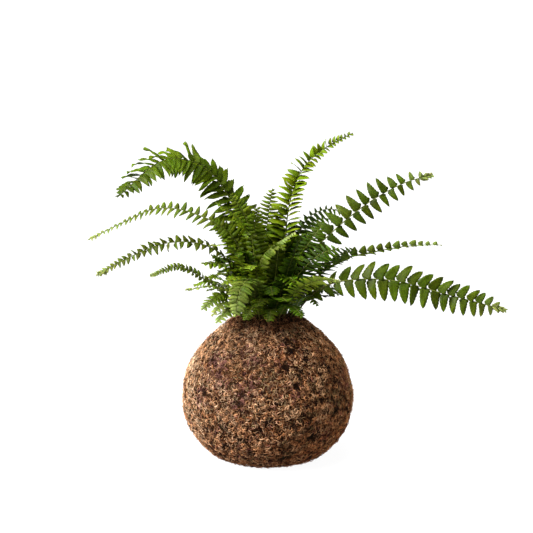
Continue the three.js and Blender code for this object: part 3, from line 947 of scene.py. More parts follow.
    def collar(self) -> Object:
        """Packs dark fibres round the stipes, over the rim and the crown.

        Returns:
            The collar's object.
        """
        rng = np.random.default_rng(COLLAR_SEED)
        count = self.collar_strands
        around, radius = rng.uniform(0, math.tau, count), self.collar_radius * np.sqrt(rng.random(count))
        height = np.interp(radius, *np.array(self.collar_top).T)
        points = np.stack([radius * np.cos(around), radius * np.sin(around), height], axis=1)
        lean = np.where(rng.random(count) < self.collar_loose, *self.collar_leans)
        normals = unit(np.stack([np.cos(around) * lean, np.sin(around) * lean, 1.05 - lean], axis=1))
        tones = np.array([tone.colour for tone in (FibreTone.BARK, FibreTone.BROWN, FibreTone.TAN)])
        tints = tones[rng.integers(0, len(tones), count)] * rng.uniform(*self.collar_light, (count, 1))
        piece = Piece("moss_collar")
        mould = rod_mould(3, 3, pointed=True)
        piece.add(mould, self.strands(rng, mould, points, normals, self.collar_lift), tints[:, None])
        return piece.build(CoirFibre().make(), "moss")


# ---------------------------------------------------------------- the fern


class Age(Enum):
    """How old a frond is, as its blade's colour and its tip's; some colours also carry painted shade or
    painted light.
    """

    MATURE = ("#425304", "#566714")
    # Partly a deep green of the frond's own, partly painted shade for fronds in the heart of the plant, at
    # the back and on the right
    DEEP = ("#273b03", "#354903")
    # Partly a dark green of the frond's own, partly painted shade for the low fronds in front
    DARK = ("#2f3c02", "#3e4c0b")
    BRIGHT = ("#526307", "#4c5c10")
    # The tip is darker than the blade: painted shade on the arch's outer end
    ARCHED = ("#405205", "#293503")
    # Painted light: a brighter green for a frond that lies in the shadow of the core
    PAINTED_LIGHT = ("#687b1c", "#95a248")
    TENDER = ("#3f4d12", "#69763a")
    YOUNG = ("#485714", "#7b874c")
    OLIVE = ("#445212", "#6b7c38")
    SHADED = ("#374109", "#4c551a")


class Detail(Enum):
    """How finely a pinna's blade is divided, as faces along it and across it."""

    PLAIN = (6, 2)
    NARROW = (12, 2)
    BROAD = (12, 4)


@dataclass(frozen=True)
class FrondPlan:
    """One frond: the route of its rachis and how its pinnae are laid out.

    Attributes:
        name: The frond's name.
        leaf: Length of its longest pinnae.
        pairs: How many pairs of pinnae it has.
        fold: Degrees by which the pinnae rise out of the blade's plane.
        bare: Share of the rachis below its lowest pinna.
        side: The way that its right pinnae point at the crown.
        path: Corners of the rachis, from the crown to the tip.
        age: Its colours, which on some fronds carry painted shade or painted light.
        tip_side: The way that its right pinnae point at the tip, where it differs.
        blunt: How suddenly the pinnae shorten near the tip.
        face: How far the pinnae turn flat to the light, from 0 to 1.
        tuft: Length of the curled pinnae at a growing tip, or 0 for none.
        lean: Degrees by which right and left pinnae lean towards the tip.
        slim: Factor on the pinnae's width.
        lap: A pinna's width against the room that it has.
        stub: Length of the shortest pinnae.
        hands: Factors on the length of the right and left pinnae.
        point: How round the pinnae's ends are.
        ruffle: How far the pinnae twist and ripple.
        crowd: How much closer they stand towards the tip.
        filler: Whether it is a small frond with no solid of its own.
    """

    name: str
    leaf: float
    pairs: int
    fold: float
    bare: float
    side: Point
    path: tuple[Point, ...]
    age: Age = Age.MATURE
    tip_side: Point | None = None
    blunt: float = 3.4
    face: float = 0.0
    tuft: float = 0.0
    lean: tuple[float, float] = (10.0, 10.0)
    slim: float = 1.0
    lap: float = 0.98
    stub: float = 2.4
    hands: tuple[float, float] = (1.0, 1.0)
    point: float = 3.2
    ruffle: float = 1.0
    crowd: float = 0.2
    filler: bool = False


PLANS: tuple[FrondPlan, ...] = (
    FrondPlan(
        "left_arch", 22.5, 36, -6, 0.14, (1, 0.25, 0.8),
        ((-15, 0, 119), (-20, 6, 178), (-29, 10, 212), (-53, 5, 243), (-86, -8, 248), (-120, -34, 219)),
        age=Age.ARCHED, tip_side=(-0.9, 0.75, 0.3), blunt=4, face=0.45, slim=1.0, lap=1.3, point=2.4,
        hands=(1.25, 1.0), ruffle=2.2,
    ),
    FrondPlan(
        "centre_tall", 17.5, 36, 25, 0.16, (1, -0.35, -0.2),
        ((4, 6, 119), (14, 14, 182), (19, 18, 215), (30, 20, 242), (49, 20, 259), (71, 18, 271)),
        age=Age.BRIGHT, blunt=1.15, face=0.6, slim=1.15, lap=1.5, stub=2.8, lean=(22, 16), point=2.4,
        hands=(0.95, 1.1), ruffle=1.6,
    ),
    FrondPlan(
        "right_up", 16.5, 16, 0, 0.14, (0.3, -0.25, -1),
        ((13, 2, 119), (31, 6, 164), (54, 10, 189), (84, 14, 213), (113, 16, 229), (137, 16, 236)),
        age=Age.DARK, blunt=4, tuft=4.4, lean=(0, -8), slim=0.92, hands=(0.85, 1.0), point=2.6, lap=1.05,
        ruffle=1.5,
    ),
    FrondPlan(
        "right_big", 17, 19, 0, 0.1, (0, -0.4, -1),
        ((20, -6, 119), (39, -10, 141), (62, -16, 151), (101, -22, 152), (145, -26, 141), (191, -28, 129)),
        age=Age.DARK, blunt=5, tuft=5.0, lean=(6, 26), slim=0.96, lap=1.06, ruffle=1.6,
    ),
    FrondPlan(
        "left_mid", 11.5, 30, 4, 0.14, (0.4, 0.8, 0.6),
        ((-17, 8, 119), (-34, 26, 183), (-62, 40, 202), (-96, 52, 206), (-129, 60, 192), (-157, 64, 178)),
        age=Age.OLIVE, blunt=1.8, tuft=3.4, slim=0.75, lap=1.15, stub=5.0, point=2.2, crowd=0.4,
    ),
    FrondPlan(
        "left_low", 9.2, 27, 4, 0.12, (-0.3, 0.75, 0.6),
        ((-20, -2, 119), (-30, -10, 162), (-50, -18, 180), (-79, -26, 183),
         (-108, -32, 173), (-136, -36, 158)),
        age=Age.SHADED, blunt=2.6, tuft=4.4, slim=0.95, point=1.8, crowd=0.5, ruffle=2.6,
    ),
    FrondPlan(
        "right_thin", 9, 17, 35, 0.14, (0.4, -0.75, -0.5),
        ((17, 8, 119), (38, 24, 145), (62, 38, 162), (95, 52, 169), (128, 62, 173), (155, 68, 173)),
        age=Age.OLIVE, blunt=4, slim=1.5, lap=1.0, stub=4, point=1.6, lean=(25, 25),
    ),
    FrondPlan(
        "left_small", 6.4, 27, 10, 0.16, (-0.3, 0.5, 0.8),
        ((-20, -9, 119), (-34, -24, 141), (-49, -38, 154), (-70, -50, 166), (-91, -60, 160)),
        age=Age.OLIVE, blunt=1.1, tuft=2.0, slim=1.0, lap=0.95, stub=2.2, crowd=0.85, ruffle=2.0,
    ),
    FrondPlan(
        "front_left", 11, 21, 0, 0.16, (-1, 0.1, 0),
        ((-9, -17, 119), (-11, -32, 149), (-16, -44, 155), (-22, -58, 147), (-25, -66, 128)),
        age=Age.TENDER, blunt=4, ruffle=3.0, lap=1.2,
    ),
    FrondPlan(
        "centre_fold", 11, 30, -38, 0.14, (0.3, -1, 0),
        ((-1, -12, 119), (-8, -18, 148), (-6, -22, 167), (3, -26, 179), (22, -30, 192)),
        age=Age.YOUNG, ruffle=2.4, blunt=1.6, lap=1.3,
    ),
    FrondPlan(
        "front_right", 10, 26, 6, 0.16, (-0.72, -0.5, 0.4),
        ((12, -16, 119), (19, -30, 140), (30, -42, 151), (43, -52, 156), (55, -60, 156)),
        age=Age.PAINTED_LIGHT, tuft=3.5, ruffle=2.2, lap=1.3, face=0.8,
    ),
    FrondPlan(
        "left_core", 13, 24, 4, 0.12, (-0.5, 0.87, 0),
        ((-10, -8, 119), (-18, -18, 158), (-30, -24, 179), (-46, -30, 181)),
        tuft=3,
    ),
    FrondPlan(
        "right_core", 15, 16, 0, 0.12, (0.2, -0.4, -1),
        ((8, -7, 119), (22, -12, 151), (40, -18, 171), (58, -22, 179)),
        age=Age.DEEP, slim=0.65, point=2.2, lean=(28, -28),
    ),
    FrondPlan(
        "back_upright", 12, 24, 0, 0.14, (1, 0, 0),
        ((-3, 4, 119), (-3, 14, 163), (0, 22, 198), (4, 26, 225)),
        slim=0.8, blunt=4.5, ruffle=2.5, point=2.2,
    ),
    FrondPlan(
        "left_inner", 16, 25, -6, 0.14, (-0.3, 1, 0.3),
        ((-9, -1, 119), (-8, -8, 161), (-20, -12, 197), (-42, -18, 215)),
    ),
    FrondPlan(
        "back_right", 15, 18, 0, 0.14, (0.8, -0.5, -0.3),
        ((9, 12, 119), (18, 26, 158), (32, 38, 189), (48, 44, 198), (60, 46, 193)),
        age=Age.DEEP, slim=0.65, point=2.2,
    ),
    FrondPlan(
        "right_inner", 15, 18, 8, 0.14, (0.6, -0.7, -0.4),
        ((20, 1, 119), (34, 12, 145), (54, 22, 165), (76, 30, 173)),
        age=Age.DEEP, slim=0.65, point=2.2, lean=(22, -22),
    ),
    FrondPlan(
        "right_low", 11, 13, 0, 0.14, (-0.5, -0.85, 0),
        ((18, -12, 119), (26, -21, 136), (33, -29, 139), (41, -35, 133)),
        age=Age.DEEP,
    ),
    FrondPlan(
        "left_tiny", 8, 12, 6, 0.18, (-0.6, 0.8, 0),
        ((-15, -14, 119), (-25, -31, 139), (-42, -48, 150), (-63, -60, 149)),
        age=Age.YOUNG, tuft=3,
    ),
    FrondPlan(
        "left_curl", 8, 10, 0, 0.18, (-0.75, 0.65, 0),
        ((-14, -19, 119), (-26, -36, 134), (-36, -49, 136), (-44, -57, 127)),
        age=Age.YOUNG,
    ),
    FrondPlan(
        "front_small", 8, 9, 0, 0.18, (-1, 0, 0),
        ((3, -19, 119), (3, -32, 129), (2, -43, 129), (1, -50, 122)),
        age=Age.DARK,
    ),
    FrondPlan(
        "low_left", 10, 10, 0, 0.16, (-0.5, 0.8, 0.3),
        ((-22, 3, 119), (-34, -4, 133), (-44, -12, 135), (-54, -20, 127)),
        age=Age.YOUNG,
    ),
    FrondPlan(
        "low_front_left", 8.5, 14, 0, 0.16, (-1, 0.3, 0),
        ((-6, -22, 119), (-9, -34, 132), (-13, -46, 132), (-18, -54, 124)),
        age=Age.DARK,
    ),
    FrondPlan(
        "low_front_right", 8.5, 14, 0, 0.16, (-1, -0.5, 0),
        ((8, -21, 119), (14, -33, 132), (21, -44, 133), (28, -52, 126)),
        age=Age.DEEP,
    ),
    FrondPlan(
        "mid_front", 12, 13, 0, 0.16, (-1, -0.5, 0),
        ((5, -13, 119), (9, -22, 145), (15, -32, 155), (24, -42, 150)),
        age=Age.DEEP,
    ),
    FrondPlan(
        "mid_left", 12, 13, 0, 0.16, (-0.8, 0.6, 0),
        ((-6, -12, 119), (-14, -24, 145), (-24, -35, 156), (-36, -45, 151)),
    ),
    FrondPlan(
        "back_arch", 16, 19, -4, 0.12, (1, 0.25, 0),
        ((-8, 12, 119), (-14, 34, 173), (-20, 62, 198), (-26, 96, 198), (-30, 128, 181)),
    ),
    FrondPlan(
        "back_long", 16, 17, 0, 0.12, (1, -0.1, 0),
        ((2, 15, 119), (6, 40, 165), (8, 70, 185), (10, 104, 179), (12, 134, 159)),
        age=Age.DEEP,
    ),
    FrondPlan(
        "back_side", 15, 14, 0, 0.12, (0.9, -0.42, 0),
        ((13, 17, 119), (22, 42, 158), (34, 70, 173), (46, 100, 165), (54, 126, 143)),
    ),
    FrondPlan(
        "back_left", 13, 13, 0, 0.14, (0.9, 0.42, 0),
        ((-15, 14, 119), (-26, 38, 151), (-36, 64, 161), (-44, 90, 151)),
        age=Age.DEEP,
    ),
    FrondPlan(
        "back_low", 12, 12, 0, 0.16, (1, 0, 0),
        ((5, 21, 119), (6, 44, 137), (6, 66, 135), (4, 84, 119)),
        age=Age.YOUNG,
    ),
    FrondPlan(
        "back_low_left", 12, 12, 0, 0.16, (0.92, 0.38, 0),
        ((-5, 20, 119), (-14, 42, 139), (-22, 62, 139), (-29, 80, 124)),
    ),
    FrondPlan(
        "back_low_right", 11, 12, 0, 0.16, (0.7, -0.7, 0),
        ((19, 13, 119), (33, 31, 139), (48, 48, 141), (62, 62, 129)),
        age=Age.DEEP,
    ),
    FrondPlan(
        "skirt_left", 10, 10, 0, 0.14, (-0.6, 0.8, 0),
        ((-19, -13, 119), (-27, -22, 127), (-35, -31, 126), (-41, -37, 119)),
        age=Age.YOUNG,
    ),
    FrondPlan(
        "front_mid", 11, 12, 0, 0.14, (-1, 0, 0),
        ((-1, -7, 119), (0, -18, 140), (2, -30, 148), (4, -43, 142)),
        age=Age.DEEP,
    ),
    FrondPlan(
        "skirt_front", 10, 10, 0, 0.14, (-1, 0.1, 0),
        ((-4, -18, 119), (-5, -27, 134), (-6, -38, 139), (-8, -50, 134)),
        age=Age.DARK,
    ),
    FrondPlan(
        "skirt_right", 11, 12, 0, 0.14, (-0.4, -0.9, 0),
        ((13, -8, 119), (22, -17, 143), (33, -27, 152), (46, -35, 151)),
        age=Age.DEEP,
    ),
    FrondPlan(
        "low_right", 11, 12, 0, 0.14, (0, -1, 0),
        ((21, 6, 119), (34, 6, 137), (48, 4, 142), (60, 0, 137)),
        age=Age.DEEP,
    ),
    FrondPlan(
        "far_left", 11, 12, 0, 0.14, (-0.4, 0.9, 0),
        ((-19, 12, 119), (-34, 18, 140), (-48, 24, 146), (-64, 28, 142)),
    ),
    FrondPlan(
        "core_left", 12, 13, 0, 0.12, (-0.4, 0.9, 0.3),
        ((-16, -7, 119), (-22, -13, 148), (-36, -20, 164), (-54, -26, 166)),
    ),
    FrondPlan(
        "right_fan", 17, 20, 0, 0.14, (0.9, -0.35, -0.5),
        ((14, 12, 119), (20, 18, 165), (32, 22, 197), (50, 26, 207), (66, 28, 203)),
        age=Age.DEEP, slim=0.6, point=2.0, hands=(1.0, 0.4),
    ),
    FrondPlan(
        "core_right", 12, 13, 0, 0.12, (-0.8, -0.5, 0),
        ((3, -4, 119), (6, -6, 150), (14, -8, 174), (26, -12, 188)),
        age=Age.DEEP,
    ),
    FrondPlan(
        "core_front", 11, 13, 0, 0.12, (-1, 0.3, 0),
        ((-6, -6, 119), (-8, -14, 148), (-14, -28, 162), (-20, -42, 164)),
    ),
)

# Small fronds in the plant's heart, each with no solid of its own
SHOOTS: tuple[FrondPlan, ...] = (
    FrondPlan(
        "shoot_arch", 13, 27, 0, 0.14, (1, 0.2, 0.5),
        ((-8, 2, 119), (-11, 3, 172), (-18, 4, 201), (-31, 4, 221)),
        age=Age.BRIGHT, slim=0.8, lap=1.3, point=2.2,
    ),
    FrondPlan(
        "shoot_low_arch", 13, 22, 0, 0.14, (0.8, 0.3, 0.6),
        ((-11, -1, 119), (-18, -2, 160), (-30, 0, 187), (-47, -2, 199)),
        slim=0.9, lap=1.3, point=2.4,
    ),
    FrondPlan(
        "shoot_left", 13, 24, 10, 0.14, (1, 0.2, 0),
        ((-6, 0, 119), (-9, 0, 163), (-11, -2, 190), (-8, -6, 211)),
        slim=0.75, lap=1.2, point=2.2,
    ),
    FrondPlan(
        "shoot_back", 12, 24, 0, 0.14, (1, 0.2, 0),
        ((6, 8, 119), (5, 14, 160), (6, 18, 188), (12, 20, 207)),
        slim=0.75, lap=1.2,
    ),
    FrondPlan(
        "shoot_flank_1", 10, 16, 10, 0.14, (-0.5, 0.8, 0.3),
        ((-16, -6, 119), (-28, -14, 141), (-38, -22, 153), (-48, -30, 155)),
        lap=1.15,
    ),
    FrondPlan(
        "shoot_flank_2", 10, 16, 0, 0.14, (-0.3, 0.8, 0.5),
        ((-16, 4, 119), (-27, 2, 146), (-36, 0, 163), (-47, -4, 171)),
        age=Age.DEEP, lap=1.15,
    ),
    FrondPlan(
        "shoot_flank_3", 9, 15, 5, 0.14, (-0.5, 0.7, 0.5),
        ((-17, -10, 119), (-27, -20, 133), (-36, -30, 141), (-44, -40, 139)),
        lap=1.15,
    ),
    FrondPlan(
        "shoot_flank_4", 8, 14, 0, 0.14, (-0.8, 0.6, 0.2),
        ((-15, -14, 119), (-22, -26, 131), (-29, -38, 134), (-35, -47, 128)),
        age=Age.TENDER, lap=1.15,
    ),
    FrondPlan(
        "shoot_right", 17, 19, 0, 0.14, (0.8, -0.3, -0.4),
        ((12, 2, 119), (22, 4, 151), (31, 4, 175), (45, 2, 195)),
        age=Age.DEEP, slim=0.6, point=2.2, lean=(20, -20),
    ),
)


@dataclass(frozen=True)
class PinnaShape:
    """The shape that all pinnae share: how they taper, bend and vary."""

    # The outline, by share of the length
    end_round: float = 0.7
    base: float = 0.5
    base_rise: float = 7.0
    narrowing: float = 0.25
    narrow_from: float = 0.15
    ear: float = 0.26
    ear_at: float = 0.1
    ear_length: float = 0.09
    tooth: float = 0.06
    teeth: int = 12
    tooth_from: float = 0.45
    least: float = 0.03
    # The blade, and how it bends, by share of its length or width
    thick: float = 0.28
    droop: float = 0.16
    arch: float = 0.03
    sweep: float = 0.1
    hook: float = 0.05
    cup: float = 0.16
    crease: float = 0.05
    ripple: float = 0.035
    ripple_waves: tuple[float, float] = (7.0, 5.0)
    ripple_shift: float = 6.0
    widest: tuple[float, float] = (1.6, 0.42)
    curled_width: float = 0.55
    seat: float = 0.3
    # How far one pinna differs from the next, with angles in degrees
    lengths: tuple[float, float] = (0.93, 1.05)
    widths: tuple[float, float] = (0.92, 1.06)
    sweeps: tuple[float, float] = (0.2, 1.8)
    droops: tuple[float, float] = (0.5, 1.5)
    lean_sway: float = 4.0
    fold_sway: float = 5.0
    twist: float = 8.0
    curl_lean: float = 45.0
    curl_fold: float = 60.0
    # The tint: how it varies, and how it changes towards the root, the point and the underside; painted shade
    # darkens the root, by the rachis, and painted light brightens the end
    lights: tuple[float, float] = (0.8, 1.22)
    reds: tuple[float, float] = (0.9, 1.12)
    tip_tint: Point = (1.15, 1.1, 0.95)
    # Painted shade at the root of each pinna, rising to painted light at its end
    painted_root_shade: float = 0.66
    painted_end_light: float = 0.5
    under: Point = (1.12, 1.12, 1.4)

    def outline(self, reach: np.ndarray, spread: np.ndarray, point: float) -> np.ndarray:
        """Half width of a pinna: a broad base with an ear on the tip side, and a toothed edge.

        Args:
            reach: Shares of the length, from the root.
            spread: Shares of the width, from -0.5 to 0.5.
            point: How round the end is.

        Returns:
            Shares of the full width.
        """
        body = np.clip(1 - reach**point, 0, 1) ** self.end_round
        body = body * np.minimum(1, self.base + self.base_rise * reach)
        body = body * (1 - self.narrowing * np.clip(reach - self.narrow_from, 0, 1))
        ear = self.ear * np.exp(-(((reach - self.ear_at) / self.ear_length) ** 2))
        teeth = 1 + self.tooth * np.cos(math.pi * reach * self.teeth) * (np.abs(spread) > self.tooth_from)
        return (body + np.where(spread > 0, ear, 0)) * teeth + self.least


@dataclass
class Frond:
    """A frond: a scurfy stipe and rachis with toothed, arching pinnae on both sides."""

    plan: FrondPlan
    seed: int
    shape: PinnaShape = PinnaShape()
    steps: int = 200
    # The stipe and rachis
    stipe_half: tuple[float, float] = (0.85, 0.34)
    stipe_flat: float = 0.88
    stipe_sides: int = 7
    stipe_steps: int = 44
    sunk: float = 0.06
    foot: float = 105.6
    end_from: float = 0.97
    end_thin: float = 0.6
    scurf: str = "#3a2416"
    stem: str = "#4e5520"
    scurf_share: float = 0.34
    # How the pinnae are spaced, and how their length changes along the blade
    stagger: float = 0.25
    tip_room: float = 0.7
    lowest: float = 0.45
    swell: float = 2.2
    tip_roundness: float = 0.75
    broad_leaf: float = 13.5
    # The growing tip, with the share of the blade and of the rachis where it starts
    pale: str = "#707a40"
    pale_from: float = 0.82
    pale_share: float = 0.75
    ripe_until: float = 0.55
    tuft_from: float = 0.8
    tuft_share: float = 0.8
    curled: int = 11
    curled_from: float = 0.945
    curled_until: float = 0.999
    curled_taper: float = 0.4
    curled_lengths: tuple[float, float] = (0.8, 1.15)
    curls: tuple[float, float] = (0.4, 1)

    def __post_init__(self) -> None:
        """Lays out the rachis and its frames."""
        plan = self.plan
        self.rng = np.random.default_rng(self.seed)
        self.curve = smooth_path(np.array(plan.path, dtype=float), self.steps)
        self.length = float(np.linalg.norm(np.diff(self.curve, axis=0), axis=1).sum())
        along = unit(np.gradient(self.curve, axis=0))
        share = np.linspace(0, 1, len(self.curve))[:, None]
        side = mix(np.array(plan.side), np.array(plan.tip_side or plan.side), share)
        across = unit(side - (along * side).sum(axis=1, keepdims=True) * along)
        self.axes = (along, across, np.cross(across, along))

    def at(self, u: np.ndarray) -> tuple[np.ndarray, ...]:
        """Reads the rachis at shares of its length.

        Args:
            u: Shares, from 0 at the crown to 1 at the tip.

        Returns:
            The points, and the directions along, across and above the rachis.
        """
        ticks = np.linspace(0, 1, len(self.curve))
        rows = [self.curve, *self.axes]
        read = [np.stack([np.interp(u, ticks, column) for column in row.T], axis=-1) for row in rows]
        return read[0], unit(read[1]), unit(read[2]), unit(read[3])

    def half_width(self, u: np.ndarray) -> np.ndarray:
        """Half the rachis's width at shares of its length."""
        return mix(*self.stipe_half, np.sqrt(np.clip(u, 0, 1)))

    def rachis(self, piece: Piece) -> None:
        """Bends a rod along the rachis, upright where it stands in the crown.

        Args:
            piece: The mesh that the rod goes into.
        """
        mould = rod_mould(self.stipe_sides, self.stipe_steps)
        z = mould.points[:, 2]
        u = ramp(z, self.sunk, 1)
        centre, _, across, up = self.at(u)
        centre[:, 2] -= np.clip((self.sunk - z) / self.sunk, 0, 1) * (centre[:, 2] - self.foot)
        half = (self.half_width(u) * (1 - self.end_thin * ramp(u, self.end_from, 1)))[:, None]
        x, y = mould.points[:, :1] * half, mould.points[:, 1:2] * half * self.stipe_flat
        share = ramp(u, 0, self.scurf_share)[:, None] ** 0.8
        tint = mix(rgb(self.scurf), rgb(self.stem), share)
        # All of the rod takes one spot of the UV map, clear of the rib and the veins
        plain = replace(mould, uv=np.full_like(mould.uv, 0.25))
        piece.add(plain, (centre + x * across + y * up)[None], tint[None])

    def places(self, hand: int) -> list[Place]:
        """Lists where the pinnae of one side stand.

        Args:
            hand: 1 for the right side and -1 for the left.

        Returns:
            Each pinna's share of the rachis, share of the blade, pitch and length.
        """
        plan = self.plan
        made = []
        for i in range(plan.pairs):
            x = i + self.stagger * (1 + hand) + np.array([0.0, 0.5, 1.0])
            x = x / (plan.pairs + self.tip_room)
            u = plan.bare + (1 - plan.bare) * x * (1 + plan.crowd - plan.crowd * x)
            taper = max(0.0, 1 - x[1] ** plan.blunt) ** self.tip_roundness
            taper *= min(1, self.lowest + self.swell * x[1])
            tuft = plan.tuft * self.tuft_share * (x[1] > self.tuft_from)
            length = max(plan.stub, plan.leaf * taper * plan.hands[0 if hand > 0 else 1], tuft)
            made.append((float(u[1]), float(x[1]), float(u[2] - u[0]) * self.length, float(length)))
        return made

    def tint(self, x: float) -> tuple[np.ndarray, np.ndarray]:
        """Picks a pinna's colour at its root and at its point.

        Args:
            x: Its share of the blade, from 0 at the lowest pinna.

        Returns:
            Two linear colours.
        """
        blade, tip = (rgb(colour) for colour in self.plan.age.value)
        colour = mix(blade, tip, ramp(x, self.ripe_until, 1) ** 1.5)
        if self.plan.tuft > 0:
            colour = mix(colour, rgb(self.pale), ramp(x, self.pale_from, 1) ** 1.3 * self.pale_share)
        colour = colour * self.rng.uniform(*self.shape.lights)
        colour = colour * np.array([self.rng.uniform(*self.shape.reds), 1, 1])
        return colour, colour * np.array(self.shape.tip_tint)

    def pinna(self, piece: Piece, mould: Mould, hand: int, place: Place, curl: float = 0.0) -> None:
        """Bends a blade into one pinna and lays it on the rachis.

        Args:
            piece: The mesh that the pinna goes into.
            mould: The flat blade.
            hand: 1 for the right side of the rachis and -1 for the left.
            place: Its share of the rachis, share of the blade, pitch and length.
            curl: How tightly it is still curled up, from 0 for a full-grown pinna to 1.
        """
        u, x, pitch, grown = place
        rng, plan, shape = self.rng, self.plan, self.shape
        length = grown * rng.uniform(*shape.lengths)
        widest = shape.widest[0] + shape.widest[1] * length
        width = min(plan.lap * pitch, widest) * rng.uniform(*shape.widths) * plan.slim
        if curl > 0:
            width = length * shape.curled_width
        lean = plan.lean[0 if hand > 0 else 1] + rng.normal(0, shape.lean_sway) + shape.curl_lean * curl
        fold = plan.fold + rng.normal(0, shape.fold_sway) + curl * rng.uniform(-1, 1) * shape.curl_fold
        lean, fold = math.radians(lean), math.radians(fold)
        at, along, across, up = (row[0] for row in self.at(np.array([u])))
        out = across * hand * math.cos(fold) + up * math.sin(fold)
        outward = out * math.cos(lean) + along * math.sin(lean)
        flat = up * math.cos(fold) - across * hand * math.sin(fold)
        lit = unit(np.array([0, 0, 1.0]) - outward * outward[2])
        normal = unit(flat + (lit * (1 if lit @ flat >= 0 else -1) - flat) * plan.face)
        forward = np.cross(normal, outward) * hand
        twist = math.radians(rng.normal(0, shape.twist * plan.ruffle))
        forward, normal = (
            forward * math.cos(twist) - normal * math.sin(twist),
            normal * math.cos(twist) + forward * math.sin(twist),
        )
        reach, spread, level = mould.points.T
        wide = spread * width * shape.outline(reach, spread, plan.point)
        sweep = (shape.sweep * width * rng.uniform(*shape.sweeps) + shape.hook * length) * reach**2
        sag = shape.arch * np.sin(math.pi * reach) - shape.droop * rng.uniform(*shape.droops) * reach**2
        cup = shape.cup * np.abs(wide) - shape.crease * width * np.abs(2 * spread) ** 2
        wave = shape.ripple * plan.ruffle * length * reach
        for way, turns in zip((reach, spread), shape.ripple_waves):
            wave = wave * np.sin(way * turns + rng.uniform(0, shape.ripple_shift))
        thick = level * shape.thick * (1 - 0.5 * reach)
        root = at + across * hand * self.half_width(np.array(u)) * shape.seat
        sideways, high = (wide + sweep)[:, None], (sag * length + cup + wave + thick)[:, None]
        bent = root + outward * (reach * length)[:, None] + forward * sideways + normal * high
        base, point = self.tint(x)
        far = reach[:, None]
        # Painted shade near the rachis, painted light towards the pinna's end
        tint = mix(base, point, far**2) * (shape.painted_root_shade + shape.painted_end_light * far**0.7)
        tint = np.where(level[:, None] < 0, tint * np.array(shape.under), tint)
        piece.add(mould if hand > 0 else mould.mirrored(), bent[None], tint[None])

    def unfurling(self, piece: Piece, mould: Mould) -> None:
        """Crowds small, curled pinnae at the growing tip.

        Args:
            piece: The mesh that they go into.
            mould: The flat blade.
        """
        for share in np.linspace(0, 1, self.curled):
            u = mix(self.curled_from, self.curled_until, share)
            length = self.plan.tuft * (1 - self.curled_taper * share) * self.rng.uniform(*self.curled_lengths)
            for hand in (1, -1):
                self.pinna(piece, mould, hand, (u, 1.0, length, length), self.rng.uniform(*self.curls))

    def build(self, moulds: dict[Detail, Mould], finish: Material) -> Object:
        """Makes the frond, in place of its plain solid where it has one.

        Args:
            moulds: Flat blades by how finely they are divided.
            finish: The living blade.

        Returns:
            The frond's object.
        """
        plan = self.plan
        piece = Piece(f"fern_{plan.name}")
        self.rachis(piece)
        detail = Detail.BROAD if plan.leaf >= self.broad_leaf else Detail.NARROW
        mould = moulds[Detail.PLAIN if plan.filler else detail]
        for hand in (1, -1):
            for place in self.places(hand):
                self.pinna(piece, mould, hand, place)
        if plan.tuft > 0:
            self.unfurling(piece, moulds[Detail.NARROW])
        return piece.build(finish, "leaf", () if plan.filler else (f"frond_{plan.name}",))


@dataclass
class Fern:
    """All the fronds, and the undergrowth that crowds the heart of the plant."""

    plans: tuple[FrondPlan, ...] = PLANS
    shoots: tuple[FrondPlan, ...] = SHOOTS
    crown_z: float = 119.0
    fillers: int = 30
    filler_turn: float = 2.4
    filler_rise: tuple[float, float] = (16, 74)
    filler_reach: tuple[float, float] = (30, 14)
    filler_foot: tuple[float, float] = (20, 7)
    filler_leaf: tuple[float, float] = (8, 11)
    filler_fold: tuple[float, float] = (-15, 25)

    def filler(self, k: int, rng: np.random.Generator) -> FrondPlan:
        """Plans one frond of the undergrowth: low and leaning out at first, then ever steeper.

        Args:
            k: Its number.
            rng: The seeded source of chance.

        Returns:
            The plan.
        """
        around = k * self.filler_turn + rng.uniform(-0.2, 0.2)
        share = (k + 0.5) / self.fillers
        rise, reach = mix(*self.filler_rise, share), mix(*self.filler_reach, share)
        east, north = math.cos(around), math.sin(around)
        radii = (mix(*self.filler_foot, share), 12 + 0.5 * reach, 14 + 0.9 * reach, 18 + 1.25 * reach)
        path = tuple(
            (east * radius, north * radius, self.crown_z + rise * up)
            for radius, up in zip(radii, (0, 0.62, 1, 0.96))
        )
        # Painted shade: fronds that do not face left, towards the key light, take only the darker colours
        age = (Age.MATURE, Age.DARK, Age.DEEP)[k % 3] if east < -0.2 else (Age.DEEP, Age.DARK)[k % 2]
        leaf, fold = rng.uniform(*self.filler_leaf), rng.uniform(*self.filler_fold)
        name, side = f"undergrowth_{k + 1}", (-north, east, 0.0)
        return FrondPlan(name, leaf, pairs=15, fold=fold, bare=0.16, side=side, path=path, age=age, lap=1.15)

    def undergrowth(self) -> list[FrondPlan]:
        """Plans the small fronds, which have no solids of their own.

        Returns:
            The shoots, and short fronds all round the crown.
        """
        rng = np.random.default_rng(UNDERGROWTH_SEED)
        plans = [*self.shoots, *(self.filler(k, rng) for k in range(self.fillers))]
        return [replace(plan, filler=True) for plan in plans]

    def build(self) -> list[Object]:
        """Makes every frond with one shared finish.

        Returns:
            The fronds' objects.
        """
        finish = FernBlade().make()
        moulds = {detail: blade_mould(*detail.value) for detail in Detail}
        plans = [*self.plans, *self.undergrowth()]
        return [Frond(plan, FROND_SEED + k).build(moulds, finish) for k, plan in enumerate(plans)]


# ---------------------------------------------------------------- the studio


